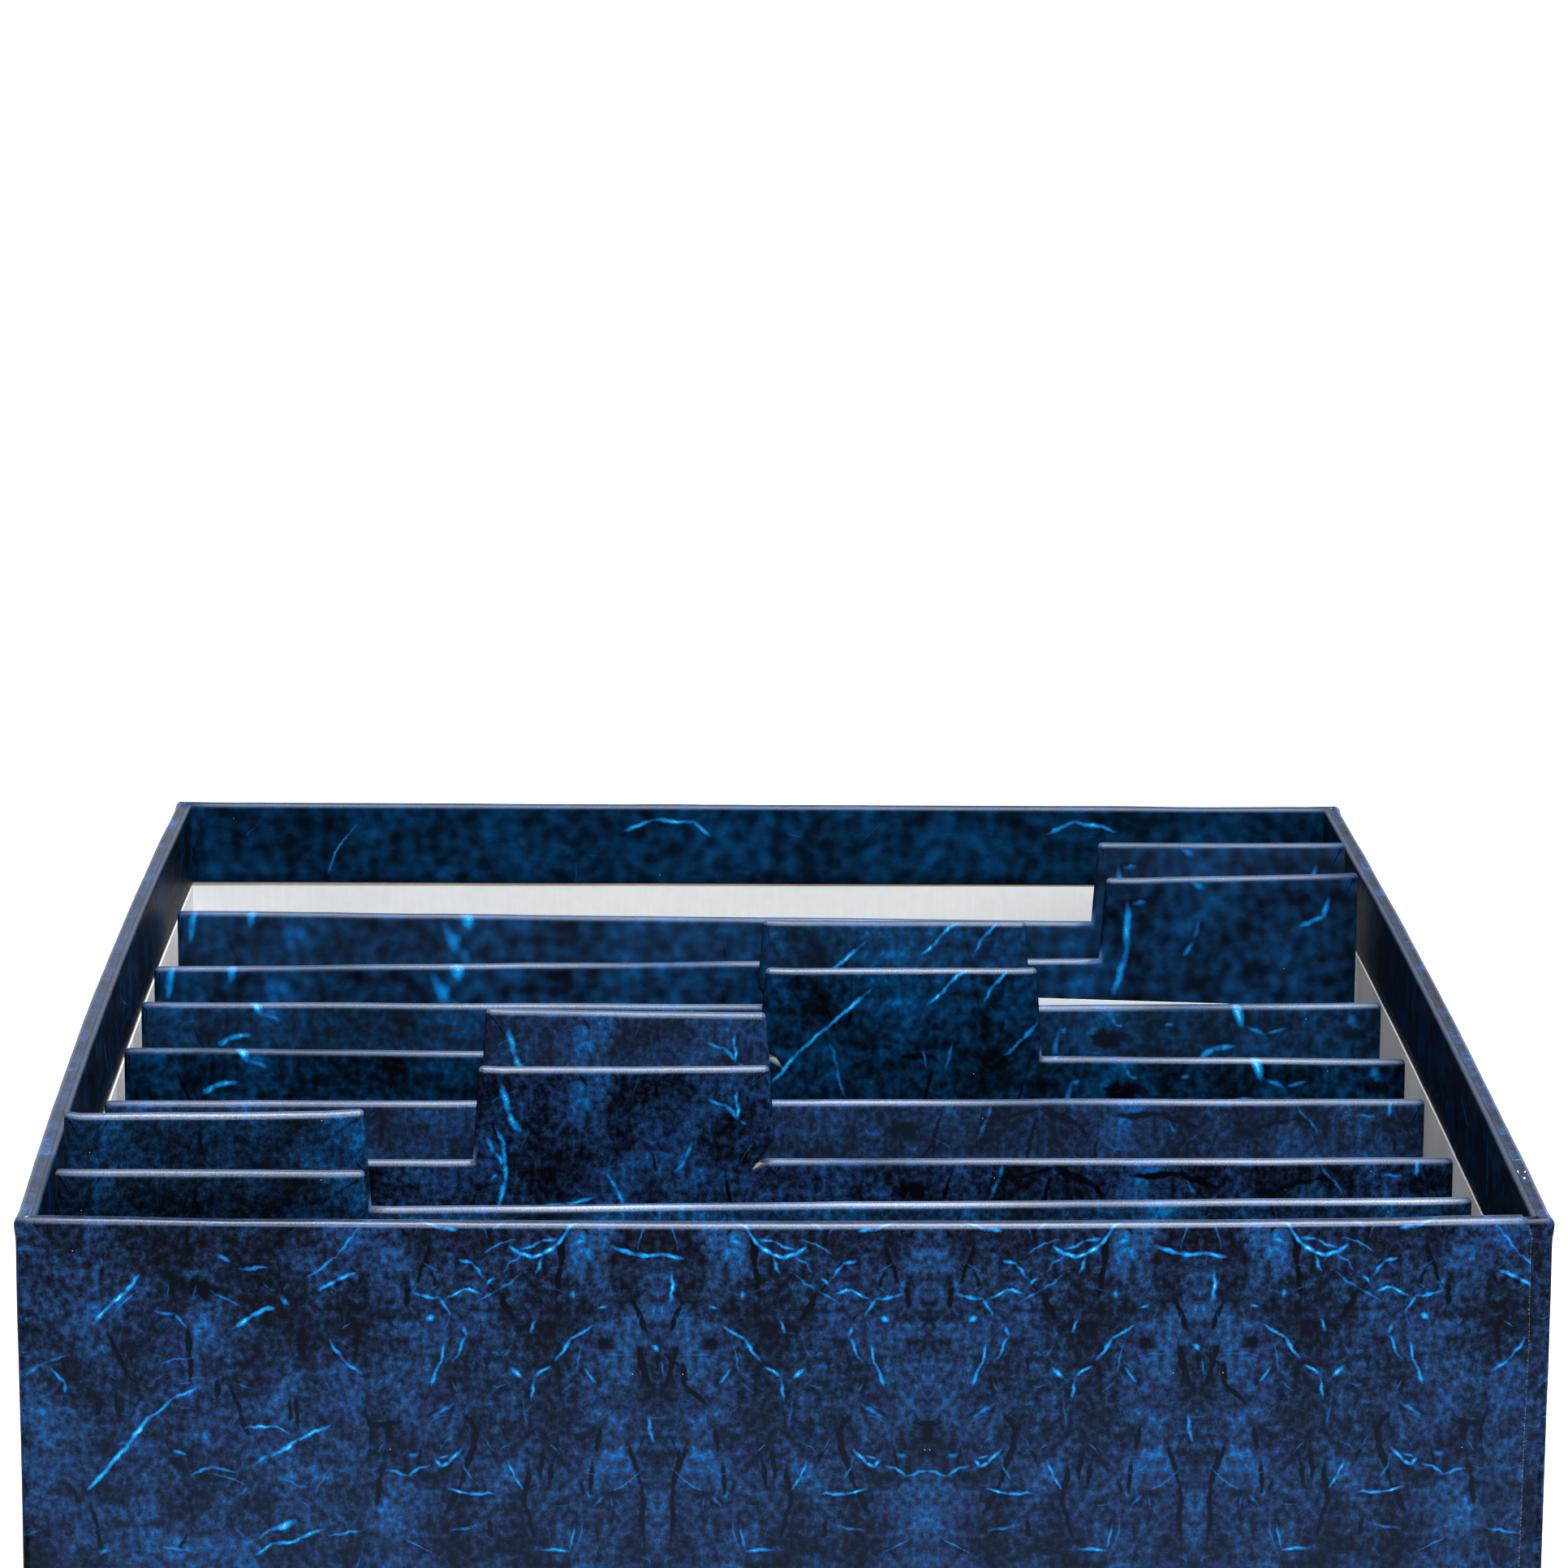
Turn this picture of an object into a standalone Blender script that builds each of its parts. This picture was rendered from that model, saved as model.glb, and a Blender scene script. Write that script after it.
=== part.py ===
"""Open photo storage box in paper over board, with eight lift-out index dividers.

Metres, +Z up, +X to the right and +Y to the back. The origin is at the centre of the underside.
A rigid box is five boards held by gummed corner stays, one long strip of printed paper wrapped
round the walls and turned in over the rim and under the base, a bottom sheet and a white lining.
Each divider is a die-cut board, a printed cover folded over its edges and a white back liner.
"""

import math

import bmesh
import bpy

# The box, outside
BOX_WIDTH = 0.175
BOX_LENGTH = 0.222
BOX_HEIGHT = 0.120

# Sheets of the box, and the glue line between two of them
WALL_BOARD = 0.00145
BASE_BOARD = 0.0015
COVER_PAPER = 0.00025
STAY_PAPER = 0.0001
LINING_PAPER = 0.00025
BOTTOM_PAPER = 0.00025
GLUE_LINE = 0.0001

# The cover strip: its folds, what is turned in, and the lap at the right front corner
COVER_FOLD = 0.0005
RIM_TURN_IN = 0.0118
BASE_TURN_IN = 0.014
LAP_FROM_CORNER = 0.0026
LAP_SLANT = 0.001
FLAP_LENGTH = 0.009
LAP_RAMP = 0.003

# Linings, bottom sheet and corner stays
LINING_GAP = 0.0003
BOTTOM_SHEET_MARGIN = 0.003
STAY_LEG = 0.018

# The walls of such a box belly out between the corners, most at the rim; the back one stands straight
BELLY_LEFT = 0.0010
BELLY_RIGHT = 0.0006
BELLY_FRONT = 0.0022

# The dividers
DIVIDER_BOARD = 0.0010
DIVIDER_COVER = 0.0002
DIVIDER_LINER = 0.00015
DIVIDER_GLUE = 0.0001
DIVIDER_SIDE_CLEARANCE = 0.00115
DIVIDER_STAND_GAP = 0.0003
DIVIDER_BELOW_RIM = 0.0076
DIVIDER_CORNER = 0.0006
DIVIDER_FOLD = 0.0004
DIVIDER_TURN_IN = 0.011
LINER_MARGIN = 0.001

# The tabs
TAB_HEIGHT = 0.0117
TAB_WIDTH = 0.0354
TAB_FLARE = 0.0008
MIDDLE_TAB_GAP = 0.0004
NICK_RISE = 0.0026
NICK_REACH = 0.0021
PROUD_LINER = 0.0009

# Where each divider stands, as shares of the inside length behind the front wall
PLACE_SHARES = (0.0129, 0.1404, 0.2296, 0.3567, 0.4635, 0.5843, 0.6969, 0.8193)

# How far each divider has slid sideways, as shares of its side clearance
SLIDE_SHARES = (0.45, -0.84, -0.85, -0.85, -0.85, -0.77, -0.85, -0.45)

# How far each divider is turned from square, right end away, in degrees
TURNS = (-0.7, 1.75, 0.35, 0.5, -1.8, -0.6, 2.4, -2.4)

# How far each tab's right top corner lies above its left one, as shares of the tab height
TAB_SLOPE_SHARES = (0.0, 0.0, 0.0, -0.06, 0.03, 0.0, 0.04, 0.03)

# How far the outer end of each divider's shoulder is pulled up, as shares of the tab height
SHOULDER_SLOPE_SHARES = (0.0, 0.0, 0.0, 0.0, 0.0, 0.05, 0.0, 0.0)

# Tab kinds in order from the front: at the side or next to the middle, on the left or mirrored
SIDE_TAB = "side"
MIDDLE_TAB = "middle"
TABS = ((SIDE_TAB, 1), (SIDE_TAB, 1), (MIDDLE_TAB, 1), (MIDDLE_TAB, 1),
        (MIDDLE_TAB, -1), (MIDDLE_TAB, -1), (SIDE_TAB, -1), (SIDE_TAB, -1))

# The divider whose back liner was glued on too high
PROUD_LINER_DIVIDER = 6

# Fineness of the mesh, and the overrun of cutters
FOLD_STEPS = 3
WALL_STEPS = 10
STAY_STEPS = 3
HEIGHT_STEPS = 5
CORNER_STEPS = 2
OVERRUN = 0.001
MERGE_DISTANCE = 0.000001

# Depths from the outside faces of the box
BOARD_DEPTH = COVER_PAPER + GLUE_LINE + STAY_PAPER + GLUE_LINE
BOARD_BACK_DEPTH = BOARD_DEPTH + WALL_BOARD
WALL = BOARD_BACK_DEPTH + GLUE_LINE + max(COVER_PAPER, LINING_PAPER)
LAP_RISE = COVER_PAPER + GLUE_LINE

# Heights above the ground
COVER_FOOT = BOTTOM_PAPER + GLUE_LINE + LAP_RISE
BASE_FOOT = COVER_FOOT + COVER_PAPER + GLUE_LINE
WALL_FOOT = BASE_FOOT + BASE_BOARD + GLUE_LINE
WALL_TOP = BOX_HEIGHT - COVER_PAPER - 2 * GLUE_LINE
FLOOR_TOP = WALL_FOOT + LINING_PAPER
LINING_TOP = BOX_HEIGHT - RIM_TURN_IN - LINING_GAP

HALF_WIDTH = BOX_WIDTH / 2
HALF_LENGTH = BOX_LENGTH / 2
INSIDE_LENGTH = BOX_LENGTH - 2 * WALL

DIVIDER_WIDTH = BOX_WIDTH - 2 * WALL - 2 * DIVIDER_SIDE_CLEARANCE
DIVIDER_FOOT = FLOOR_TOP + DIVIDER_STAND_GAP
DIVIDER_BODY_HEIGHT = BOX_HEIGHT - DIVIDER_BELOW_RIM - DIVIDER_FOOT
DIVIDER_SKIN = DIVIDER_COVER + DIVIDER_GLUE
DIVIDER_WRAPPED = DIVIDER_BOARD + 2 * DIVIDER_SKIN
DIVIDER_THICKNESS = DIVIDER_WRAPPED + DIVIDER_GLUE + DIVIDER_LINER

# The corners of the box in plan, in the order in which the cover strip goes round them
CORNERS = ((1, -1), (1, 1), (-1, 1), (-1, -1))
CORNER_NAMES = ("front_right", "back_right", "back_left", "front_left")


def clear_scene():
    """Remove what a new file holds."""
    for item in list(bpy.data.objects):
        bpy.data.objects.remove(item)


def make_material(name, colour, roughness):
    """A plain paper or board finish."""
    material = bpy.data.materials.new(name)
    material.use_nodes = True
    shader = material.node_tree.nodes["Principled BSDF"]
    shader.inputs["Base Color"].default_value = (*colour, 1.0)
    shader.inputs["Roughness"].default_value = roughness
    shader.inputs["Metallic"].default_value = 0.0
    material.diffuse_color = (*colour, 1.0)
    return material


def make_object(name, mesh, material, parent=None):
    """Put a mesh in the scene under its own name."""
    item = bpy.data.objects.new(name, mesh)
    item.data.materials.clear()
    item.data.materials.append(material)
    item.parent = parent
    bpy.context.scene.collection.objects.link(item)
    return item


def finish_mesh(name, bm):
    """Close a bmesh up, point its faces outwards and turn it into a mesh."""
    bmesh.ops.remove_doubles(bm, verts=bm.verts, dist=MERGE_DISTANCE)
    bmesh.ops.dissolve_degenerate(bm, edges=bm.edges, dist=MERGE_DISTANCE)
    bmesh.ops.recalc_face_normals(bm, faces=bm.faces)
    mesh = bpy.data.meshes.new(name)
    bm.to_mesh(mesh)
    bm.free()
    return mesh


def between(start, end, steps):
    """Evenly spaced values from start to end, both included."""
    return [start + (end - start) * step / steps for step in range(steps + 1)]


def fold(centre, radius, from_degrees, to_degrees):
    """A quarter fold as (depth, height) points about a centre."""
    points = []
    for degrees in between(from_degrees, to_degrees, FOLD_STEPS):
        angle = math.radians(degrees)
        points.append((centre[0] + radius * math.cos(angle), centre[1] + radius * math.sin(angle)))
    return points


def corner_place(index, turned):
    """Plan positions at a corner: outer sheets bend round it, deeper ones are mitred."""
    side, end = CORNERS[index]
    normal = math.radians(90 * index - 90 + turned)

    def place(depth):
        if depth >= COVER_FOLD:
            return side * (HALF_WIDTH - depth), end * (HALF_LENGTH - depth)
        radius = COVER_FOLD - depth
        return (side * (HALF_WIDTH - COVER_FOLD) + radius * math.cos(normal),
                end * (HALF_LENGTH - COVER_FOLD) + radius * math.sin(normal))

    return place


def side_place(side, y):
    """Plan positions on a side wall, at one place along the box."""
    return lambda depth: (side * (HALF_WIDTH - depth), y)


def end_place(end, x):
    """Plan positions on the front or back wall, at one place across the box."""
    return lambda depth: (x, end * (HALF_LENGTH - depth))


def corner_places(index):
    """The stations of one bend round a corner."""
    return [corner_place(index, turned) for turned in between(0, 90, FOLD_STEPS)]


def side_places(side, direction):
    """The stations along a side wall between its corners."""
    reach = HALF_LENGTH - WALL
    stations = between(-reach * direction, reach * direction, WALL_STEPS)
    return [side_place(side, y) for y in stations]


def front_places(last):
    """The stations along the front wall, from its left corner to a last place across the box."""
    return [end_place(-1, x) for x in between(WALL - HALF_WIDTH, last, WALL_STEPS)]


def loft(stations, outlines, closed):
    """Join an outline at each station to the next one; an open strip gets its two cut ends.

    An outline lists one face of a sheet and then its other face, backwards.
    """
    bm = bmesh.new()
    rings = []
    for place, outline in zip(stations, outlines):
        rings.append([bm.verts.new((*place(depth), height)) for depth, height in outline])
    last = len(rings) if closed else len(rings) - 1
    count = len(rings[0])
    for index in range(last):
        near = rings[index]
        far = rings[(index + 1) % len(rings)]
        for point in range(count):
            after = (point + 1) % count
            bm.faces.new((near[point], near[after], far[after], far[point]))
    if not closed:
        for ring in (rings[0], rings[-1]):
            for point in range(count // 2 - 1):
                opposite = count - 2 - point
                bm.faces.new((ring[point], ring[point + 1], ring[opposite], ring[opposite + 1]))
    return bm


def belly_out(bm):
    """Bow the side and front walls outwards between the corners, and more towards the rim."""
    rise = BOX_HEIGHT - WALL_FOOT
    for vert in bm.verts:
        along = max(0, 1 - (vert.co.y / (HALF_LENGTH - WALL)) ** 2)
        across = max(0, 1 - (vert.co.x / (HALF_WIDTH - WALL)) ** 2) if vert.co.y < 0 else 0
        up = max(0, (vert.co.z - WALL_FOOT) / rise) ** 2
        bow = BELLY_RIGHT if vert.co.x > 0 else -BELLY_LEFT
        vert.co.x += bow * along * up
        vert.co.y -= BELLY_FRONT * across * up


def cover_face(skin, rise):
    """One face of the cover strip from under the base, up the wall, over the rim and down inside.

    skin is how far this face lies under the outer one, and rise lifts the strip over the flap.
    """
    radius = COVER_FOLD - skin + rise
    points = [(BASE_TURN_IN, COVER_FOOT + skin - rise)]
    points += fold((COVER_FOLD, COVER_FOOT + COVER_FOLD), radius, 270, 180)
    for height in between(WALL_FOOT, BOX_HEIGHT - 2 * COVER_FOLD, HEIGHT_STEPS):
        points.append((skin - rise, height))
    points += fold((COVER_FOLD, BOX_HEIGHT - COVER_FOLD), radius, 180, 90)
    points += fold((WALL - COVER_FOLD, BOX_HEIGHT - COVER_FOLD), radius, 90, 0)
    points.append((WALL - skin + rise, BOX_HEIGHT - RIM_TURN_IN))
    return points


def cover_outline(rise):
    """The cut of the cover strip: its outer face and then its inner face, backwards."""
    return cover_face(0, rise) + cover_face(COVER_PAPER, rise)[::-1]


def mitred(place):
    """Hold a station back to the mitre lines of the corners, along which the turned-in strip is cut."""

    def held(depth):
        x, y = place(depth)
        return (max(depth - HALF_WIDTH, min(HALF_WIDTH - depth, x)),
                max(depth - HALF_LENGTH, min(HALF_LENGTH - depth, y)))

    return held


def lap_end_place(depth):
    """The cut end of the lap, upright on the wall and slanting back as it goes over the rim."""
    slant = LAP_SLANT * min(1, max(0, depth / WALL))
    return HALF_WIDTH - LAP_FROM_CORNER - slant, depth - HALF_LENGTH


def cover_wrap():
    """The printed strip: a flap on the front, round all four walls, and lapped over the flap."""
    flap_start = HALF_WIDTH - LAP_FROM_CORNER - FLAP_LENGTH
    stations = [end_place(-1, flap_start), end_place(-1, HALF_WIDTH - WALL)]
    stations += corner_places(0) + side_places(1, 1)
    stations += corner_places(1) + corner_places(2)
    stations += side_places(-1, -1) + corner_places(3)
    stations += front_places(flap_start - 2 * GLUE_LINE - LAP_RAMP)
    outlines = [cover_outline(0) for _ in stations]
    stations += [end_place(-1, flap_start - 2 * GLUE_LINE), lap_end_place]
    outlines += [cover_outline(LAP_RISE), cover_outline(LAP_RISE)]
    bm = loft([mitred(place) for place in stations], outlines, closed=False)
    belly_out(bm)
    return finish_mesh("cover_wrap", bm)


def corner_stay(index):
    """A strip of gummed paper bent round one upright corner of the boards."""
    front = COVER_PAPER + GLUE_LINE
    back = front + STAY_PAPER
    side, end = CORNERS[index]
    reaches = between(STAY_LEG, WALL, STAY_STEPS)
    before = [side_place(side, end * (HALF_LENGTH - reach)) for reach in reaches]
    after = [end_place(end, side * (HALF_WIDTH - reach)) for reach in reaches]
    if index % 2 == 0:
        before, after = after, before
    stations = before + corner_places(index) + after[::-1]
    heights = between(BASE_FOOT, WALL_TOP, HEIGHT_STEPS)
    outline = [(front, height) for height in heights] + [(back, height) for height in heights[::-1]]
    bm = loft(stations, [outline for _ in stations], closed=False)
    belly_out(bm)
    return finish_mesh("corner_stay", bm)


def wall_lining():
    """White paper on the four inner walls, from the floor to the turned-in cover."""
    stations = corner_places(0) + side_places(1, 1) + corner_places(1) + corner_places(2)
    stations += side_places(-1, -1) + corner_places(3) + front_places(HALF_WIDTH - WALL)
    heights = between(WALL_FOOT, LINING_TOP, HEIGHT_STEPS)
    face = WALL
    back = WALL - LINING_PAPER
    outline = [(back, height) for height in heights] + [(face, height) for height in heights[::-1]]
    bm = loft(stations, [outline for _ in stations], closed=True)
    belly_out(bm)
    return finish_mesh("wall_lining", bm)


def wall_board(stations):
    """A wall's board, from the floor to just below the rim."""
    heights = between(WALL_FOOT, WALL_TOP, HEIGHT_STEPS)
    outline = [(BOARD_DEPTH, height) for height in heights]
    outline += [(BOARD_BACK_DEPTH, height) for height in heights[::-1]]
    bm = loft(stations, [outline for _ in stations], closed=False)
    belly_out(bm)
    return finish_mesh("wall_board", bm)


def side_board(side):
    """A side wall's board, which stands between the front and back boards."""
    reach = HALF_LENGTH - BOARD_BACK_DEPTH - GLUE_LINE
    inner = HALF_LENGTH - WALL
    return wall_board([side_place(side, y) for y in [-reach] + between(-inner, inner, WALL_STEPS) + [reach]])


def slab(name, low, high):
    """A rectangular board or sheet between two corners."""
    bm = bmesh.new()
    corners = bmesh.ops.create_grid(bm, x_segments=1, y_segments=1, size=1)["verts"]
    for vert in corners:
        vert.co.x = high[0] if vert.co.x > 0 else low[0]
        vert.co.y = high[1] if vert.co.y > 0 else low[1]
        vert.co.z = low[2]
    raised = bmesh.ops.extrude_face_region(bm, geom=bm.faces[:])["geom"]
    for vert in raised:
        if isinstance(vert, bmesh.types.BMVert):
            vert.co.z = high[2]
    return finish_mesh(name, bm)


def end_board(end):
    """The front or back wall's board, over the whole width of the base board."""
    reach = HALF_WIDTH - BOARD_DEPTH
    inner = HALF_WIDTH - WALL
    return wall_board([end_place(end, x) for x in [-reach] + between(-inner, inner, WALL_STEPS) + [reach]])


def flat_sheet(name, margin, foot, thickness):
    """A board or sheet that lies flat, inset by a margin from the outside of the box."""
    low = (margin - HALF_WIDTH, margin - HALF_LENGTH, foot)
    high = (HALF_WIDTH - margin, HALF_LENGTH - margin, foot + thickness)
    return slab(name, low, high)


def divider_outline(number, notch_lift=0.0):
    """The divider's outline from the front, counter-clockwise from its lower left corner.

    notch_lift raises the corner where the long shoulder meets the tab.
    """
    kind, hand = TABS[number - 1]
    half = DIVIDER_WIDTH / 2
    shoulder = DIVIDER_BODY_HEIGHT
    top = shoulder + TAB_HEIGHT
    end = shoulder + TAB_HEIGHT * SHOULDER_SLOPE_SHARES[number - 1]
    if kind == SIDE_TAB:
        right = TAB_WIDTH - half
        points = [(-half, 0), (half, 0), (half, end), (right + TAB_FLARE, shoulder + notch_lift),
                  (right, top), (-half, top)]
    else:
        right = -MIDDLE_TAB_GAP / 2
        left = right - TAB_WIDTH
        neck = right + TAB_FLARE
        points = [(-half, 0), (half, 0), (half, end if hand > 0 else shoulder),
                  (neck - NICK_REACH, shoulder), (neck, shoulder + NICK_RISE), (right, top), (left, top),
                  (left - TAB_FLARE, shoulder + notch_lift), (-half, end if hand < 0 else shoulder)]
    if hand < 0:
        points = [(-x, z) for x, z in points[::-1]]
    slope = TAB_HEIGHT * TAB_SLOPE_SHARES[number - 1] / TAB_WIDTH
    tops = [x for x, z in points if z == top]
    middle = sum(tops) / len(tops)
    return [(x, z + slope * (x - middle) if z == top else z) for x, z in points]


def inset(points, distance):
    """Move each edge of a counter-clockwise outline inwards and meet the edges again."""
    moved = []
    for index, point in enumerate(points):
        before = points[index - 1]
        after = points[(index + 1) % len(points)]
        first = math.hypot(point[0] - before[0], point[1] - before[1])
        second = math.hypot(after[0] - point[0], after[1] - point[1])
        along = ((point[0] - before[0]) / first, (point[1] - before[1]) / first)
        onward = ((after[0] - point[0]) / second, (after[1] - point[1]) / second)
        share = distance / (1 + along[0] * onward[0] + along[1] * onward[1])
        moved.append((point[0] - share * (along[1] + onward[1]), point[1] + share * (along[0] + onward[0])))
    return moved


def turns_outward(before, point, after):
    """Whether a counter-clockwise outline turns left at a point."""
    cross = (point[0] - before[0]) * (after[1] - point[1]) - (point[1] - before[1]) * (after[0] - point[0])
    return cross > 0


def die_cut(outline, front, back, corner, edge_fold=0.0):
    """A sheet of a given outline between two depths, with rounded corners and folded edges."""
    bm = bmesh.new()
    ring = [bm.verts.new((x, front, z)) for x, z in outline]
    bm.faces.new(ring)
    count = len(outline)
    outward = [ring[index] for index in range(count)
               if turns_outward(outline[index - 1], outline[index], outline[(index + 1) % count])]
    bmesh.ops.bevel(bm, geom=outward, offset=corner, segments=CORNER_STEPS, profile=0.5,
                    affect="VERTICES", clamp_overlap=True)
    raised = bmesh.ops.extrude_face_region(bm, geom=bm.faces[:])["geom"]
    for vert in raised:
        if isinstance(vert, bmesh.types.BMVert):
            vert.co.y = back
    if edge_fold:
        rims = [edge for edge in bm.edges if abs(edge.verts[0].co.y - edge.verts[1].co.y) < MERGE_DISTANCE]
        bmesh.ops.bevel(bm, geom=rims, offset=edge_fold, segments=CORNER_STEPS, profile=0.5,
                        affect="EDGES", clamp_overlap=True)
    return finish_mesh("die_cut", bm)


def carve(name, mesh, cutters):
    """Cut meshes out of a mesh with exact Booleans."""
    body = bpy.data.objects.new(name, mesh)
    bpy.context.scene.collection.objects.link(body)
    tools = []
    for cutter_mesh in cutters:
        tool = bpy.data.objects.new(name + "_cutter", cutter_mesh)
        bpy.context.scene.collection.objects.link(tool)
        cut = body.modifiers.new("cut", "BOOLEAN")
        cut.operation = "DIFFERENCE"
        cut.solver = "EXACT"
        cut.object = tool
        tools.append(tool)
    bpy.context.view_layer.update()
    evaluated = body.evaluated_get(bpy.context.evaluated_depsgraph_get())
    result = bpy.data.meshes.new_from_object(evaluated)
    for item in tools + [body]:
        bpy.data.objects.remove(item)
    return result


def divider_board(number):
    """The die-cut board inside a divider."""
    outline = inset(divider_outline(number), DIVIDER_SKIN)
    front = DIVIDER_SKIN - DIVIDER_THICKNESS / 2
    return die_cut(outline, front, front + DIVIDER_BOARD, DIVIDER_CORNER - DIVIDER_SKIN)


def divider_cover(number):
    """The printed cover: its front, the folds over every edge and the border turned in behind."""
    outline = divider_outline(number)
    front = -DIVIDER_THICKNESS / 2
    back = front + DIVIDER_WRAPPED
    outside = die_cut(outline, front, back, DIVIDER_CORNER, DIVIDER_FOLD)
    hollow = die_cut(inset(outline, DIVIDER_COVER), front + DIVIDER_COVER, back - DIVIDER_COVER,
                     DIVIDER_CORNER - DIVIDER_COVER)
    reach = DIVIDER_WIDTH / 2 - DIVIDER_TURN_IN
    window = slab("window", (-reach, front + DIVIDER_WRAPPED / 2, DIVIDER_TURN_IN),
                  (reach, back + OVERRUN, DIVIDER_BODY_HEIGHT - DIVIDER_TURN_IN))
    return carve("divider_cover", outside, [hollow, window])


def divider_liner(number):
    """The white sheet on a divider's back; one was glued on so high that it shows over the shoulder."""
    notch_lift = LINER_MARGIN + PROUD_LINER if number == PROUD_LINER_DIVIDER else 0.0
    outline = inset(divider_outline(number, notch_lift), LINER_MARGIN)
    front = DIVIDER_WRAPPED + DIVIDER_GLUE - DIVIDER_THICKNESS / 2
    return die_cut(outline, front, front + DIVIDER_LINER, DIVIDER_CORNER)


def divider_carrier(number):
    """The empty on the line along which a divider lifts, at its place and turn in the box."""
    carrier = bpy.data.objects.new(f"divider_{number}_lift", None)
    bpy.context.scene.collection.objects.link(carrier)
    place = WALL + INSIDE_LENGTH * PLACE_SHARES[number - 1]
    slide = DIVIDER_SIDE_CLEARANCE * SLIDE_SHARES[number - 1]
    carrier.location = (slide, place - HALF_LENGTH, DIVIDER_FOOT)
    carrier.rotation_euler = (0, 0, math.radians(TURNS[number - 1]))
    return carrier


def build_box(board, print_paper, white_paper, stay_paper):
    """The glued box: boards, stays, cover, bottom sheet and linings."""
    bottom = flat_sheet("bottom_sheet", BOTTOM_SHEET_MARGIN, 0, BOTTOM_PAPER)
    make_object("bottom_sheet", bottom, print_paper)
    make_object("base_board", flat_sheet("base_board", BOARD_DEPTH, BASE_FOOT, BASE_BOARD), board)
    make_object("front_board", end_board(-1), board)
    make_object("back_board", end_board(1), board)
    make_object("left_board", side_board(-1), board)
    make_object("right_board", side_board(1), board)
    for index, name in enumerate(CORNER_NAMES):
        make_object(f"corner_stay_{name}", corner_stay(index), stay_paper)
    make_object("cover_wrap", cover_wrap(), print_paper)
    make_object("wall_lining", wall_lining(), white_paper)
    floor = flat_sheet("floor_lining", WALL + GLUE_LINE, WALL_FOOT, LINING_PAPER)
    make_object("floor_lining", floor, white_paper)


def build_dividers(board, print_paper, white_paper):
    """The eight dividers, front to back, each on its own lift line."""
    for number in range(1, len(TABS) + 1):
        carrier = divider_carrier(number)
        name = f"divider_{number}"
        make_object(f"{name}_board", divider_board(number), board, carrier)
        make_object(f"{name}_cover", divider_cover(number), print_paper, carrier)
        make_object(f"{name}_liner", divider_liner(number), white_paper, carrier)


def main():
    """Build the box and its dividers."""
    clear_scene()
    board = make_material("greyboard", (0.42, 0.39, 0.34), 0.9)
    print_paper = make_material("printed_fibre_paper", (0.012, 0.035, 0.12), 0.5)
    white_paper = make_material("white_lining_paper", (0.75, 0.76, 0.77), 0.8)
    stay_paper = make_material("gummed_stay_paper", (0.50, 0.36, 0.22), 0.7)
    build_box(board, print_paper, white_paper, stay_paper)
    build_dividers(board, print_paper, white_paper)


main()
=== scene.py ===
"""Looks of an open photo storage box in dark fibre paper over board, with eight index dividers.

Every length is in metres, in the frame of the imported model: +X to the right, +Y to the back, +Z up.
A printed sheet carries its own coordinates as a UV map in metres, so that the print runs over the
folds as it does on real paper.
"""

import logging
import math
from dataclasses import dataclass, replace
from enum import Enum, IntEnum

import bmesh
import bpy
from mathutils import Matrix, Vector, noise

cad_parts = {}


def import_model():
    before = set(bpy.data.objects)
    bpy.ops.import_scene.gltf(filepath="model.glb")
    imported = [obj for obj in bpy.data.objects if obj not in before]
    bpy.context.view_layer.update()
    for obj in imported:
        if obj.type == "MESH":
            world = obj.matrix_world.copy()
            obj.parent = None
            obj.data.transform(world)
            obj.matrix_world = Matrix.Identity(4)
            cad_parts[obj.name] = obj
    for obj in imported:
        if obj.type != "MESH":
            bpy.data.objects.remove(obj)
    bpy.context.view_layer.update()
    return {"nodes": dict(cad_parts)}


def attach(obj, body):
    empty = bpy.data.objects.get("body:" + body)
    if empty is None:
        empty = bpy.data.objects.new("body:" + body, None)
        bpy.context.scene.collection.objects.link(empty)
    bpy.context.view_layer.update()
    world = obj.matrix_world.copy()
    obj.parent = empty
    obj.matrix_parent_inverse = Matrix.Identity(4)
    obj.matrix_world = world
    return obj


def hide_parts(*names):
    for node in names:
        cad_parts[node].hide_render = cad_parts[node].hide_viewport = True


logging.basicConfig(level=logging.INFO, format="%(name)s: %(message)s")
LOG = logging.getLogger("photo_box")

MM = 0.001
SHEET_MAP = "sheet"
WEAR = "wear"
# the fold attribute: where the folds get extra gloss and a painted highlight
FOLD_GLOSS_AND_HIGHLIGHT = "fold"

# What counts as the same place, as no length, and as on a plane, in metres
SAME_PLACE = 2e-6
TINY = 1e-6
ON_PLANE = 1e-7

Point = tuple[float, float]
Triple = tuple[float, float, float]
Colour = Triple
Socket = bpy.types.NodeSocket


class Coordinates(Enum):
    """What a finish takes its pattern's place from."""

    SHEET = "the flat sheet's own UV map"
    OBJECT = "the object's coordinates"


class Tab(Enum):
    """Where a divider carries its tab."""

    SIDE = "side"
    MIDDLE = "middle"


class CoverPaper(IntEnum):
    """The cover's material slots."""

    WALLS = 0
    FRONT = 1
    BACK_TURN_IN = 2
    SIDE_TURN_IN = 3


def linear(red: int, green: int, blue: int) -> Colour:
    """Turn an 8-bit display colour into the linear one that shaders take.

    Args:
        red, green, blue: display values from 0 to 255.

    Returns:
        The linear colour.
    """
    def channel(value: int) -> float:
        share = value / 255
        return share / 12.92 if share <= 0.04045 else ((share + 0.055) / 1.055) ** 2.4

    return channel(red), channel(green), channel(blue)


def spread(start: float, end: float, count: int) -> list[float]:
    """Return evenly spaced values from start to end, both included."""
    return [start + (end - start) * step / count for step in range(count + 1)]


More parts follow.
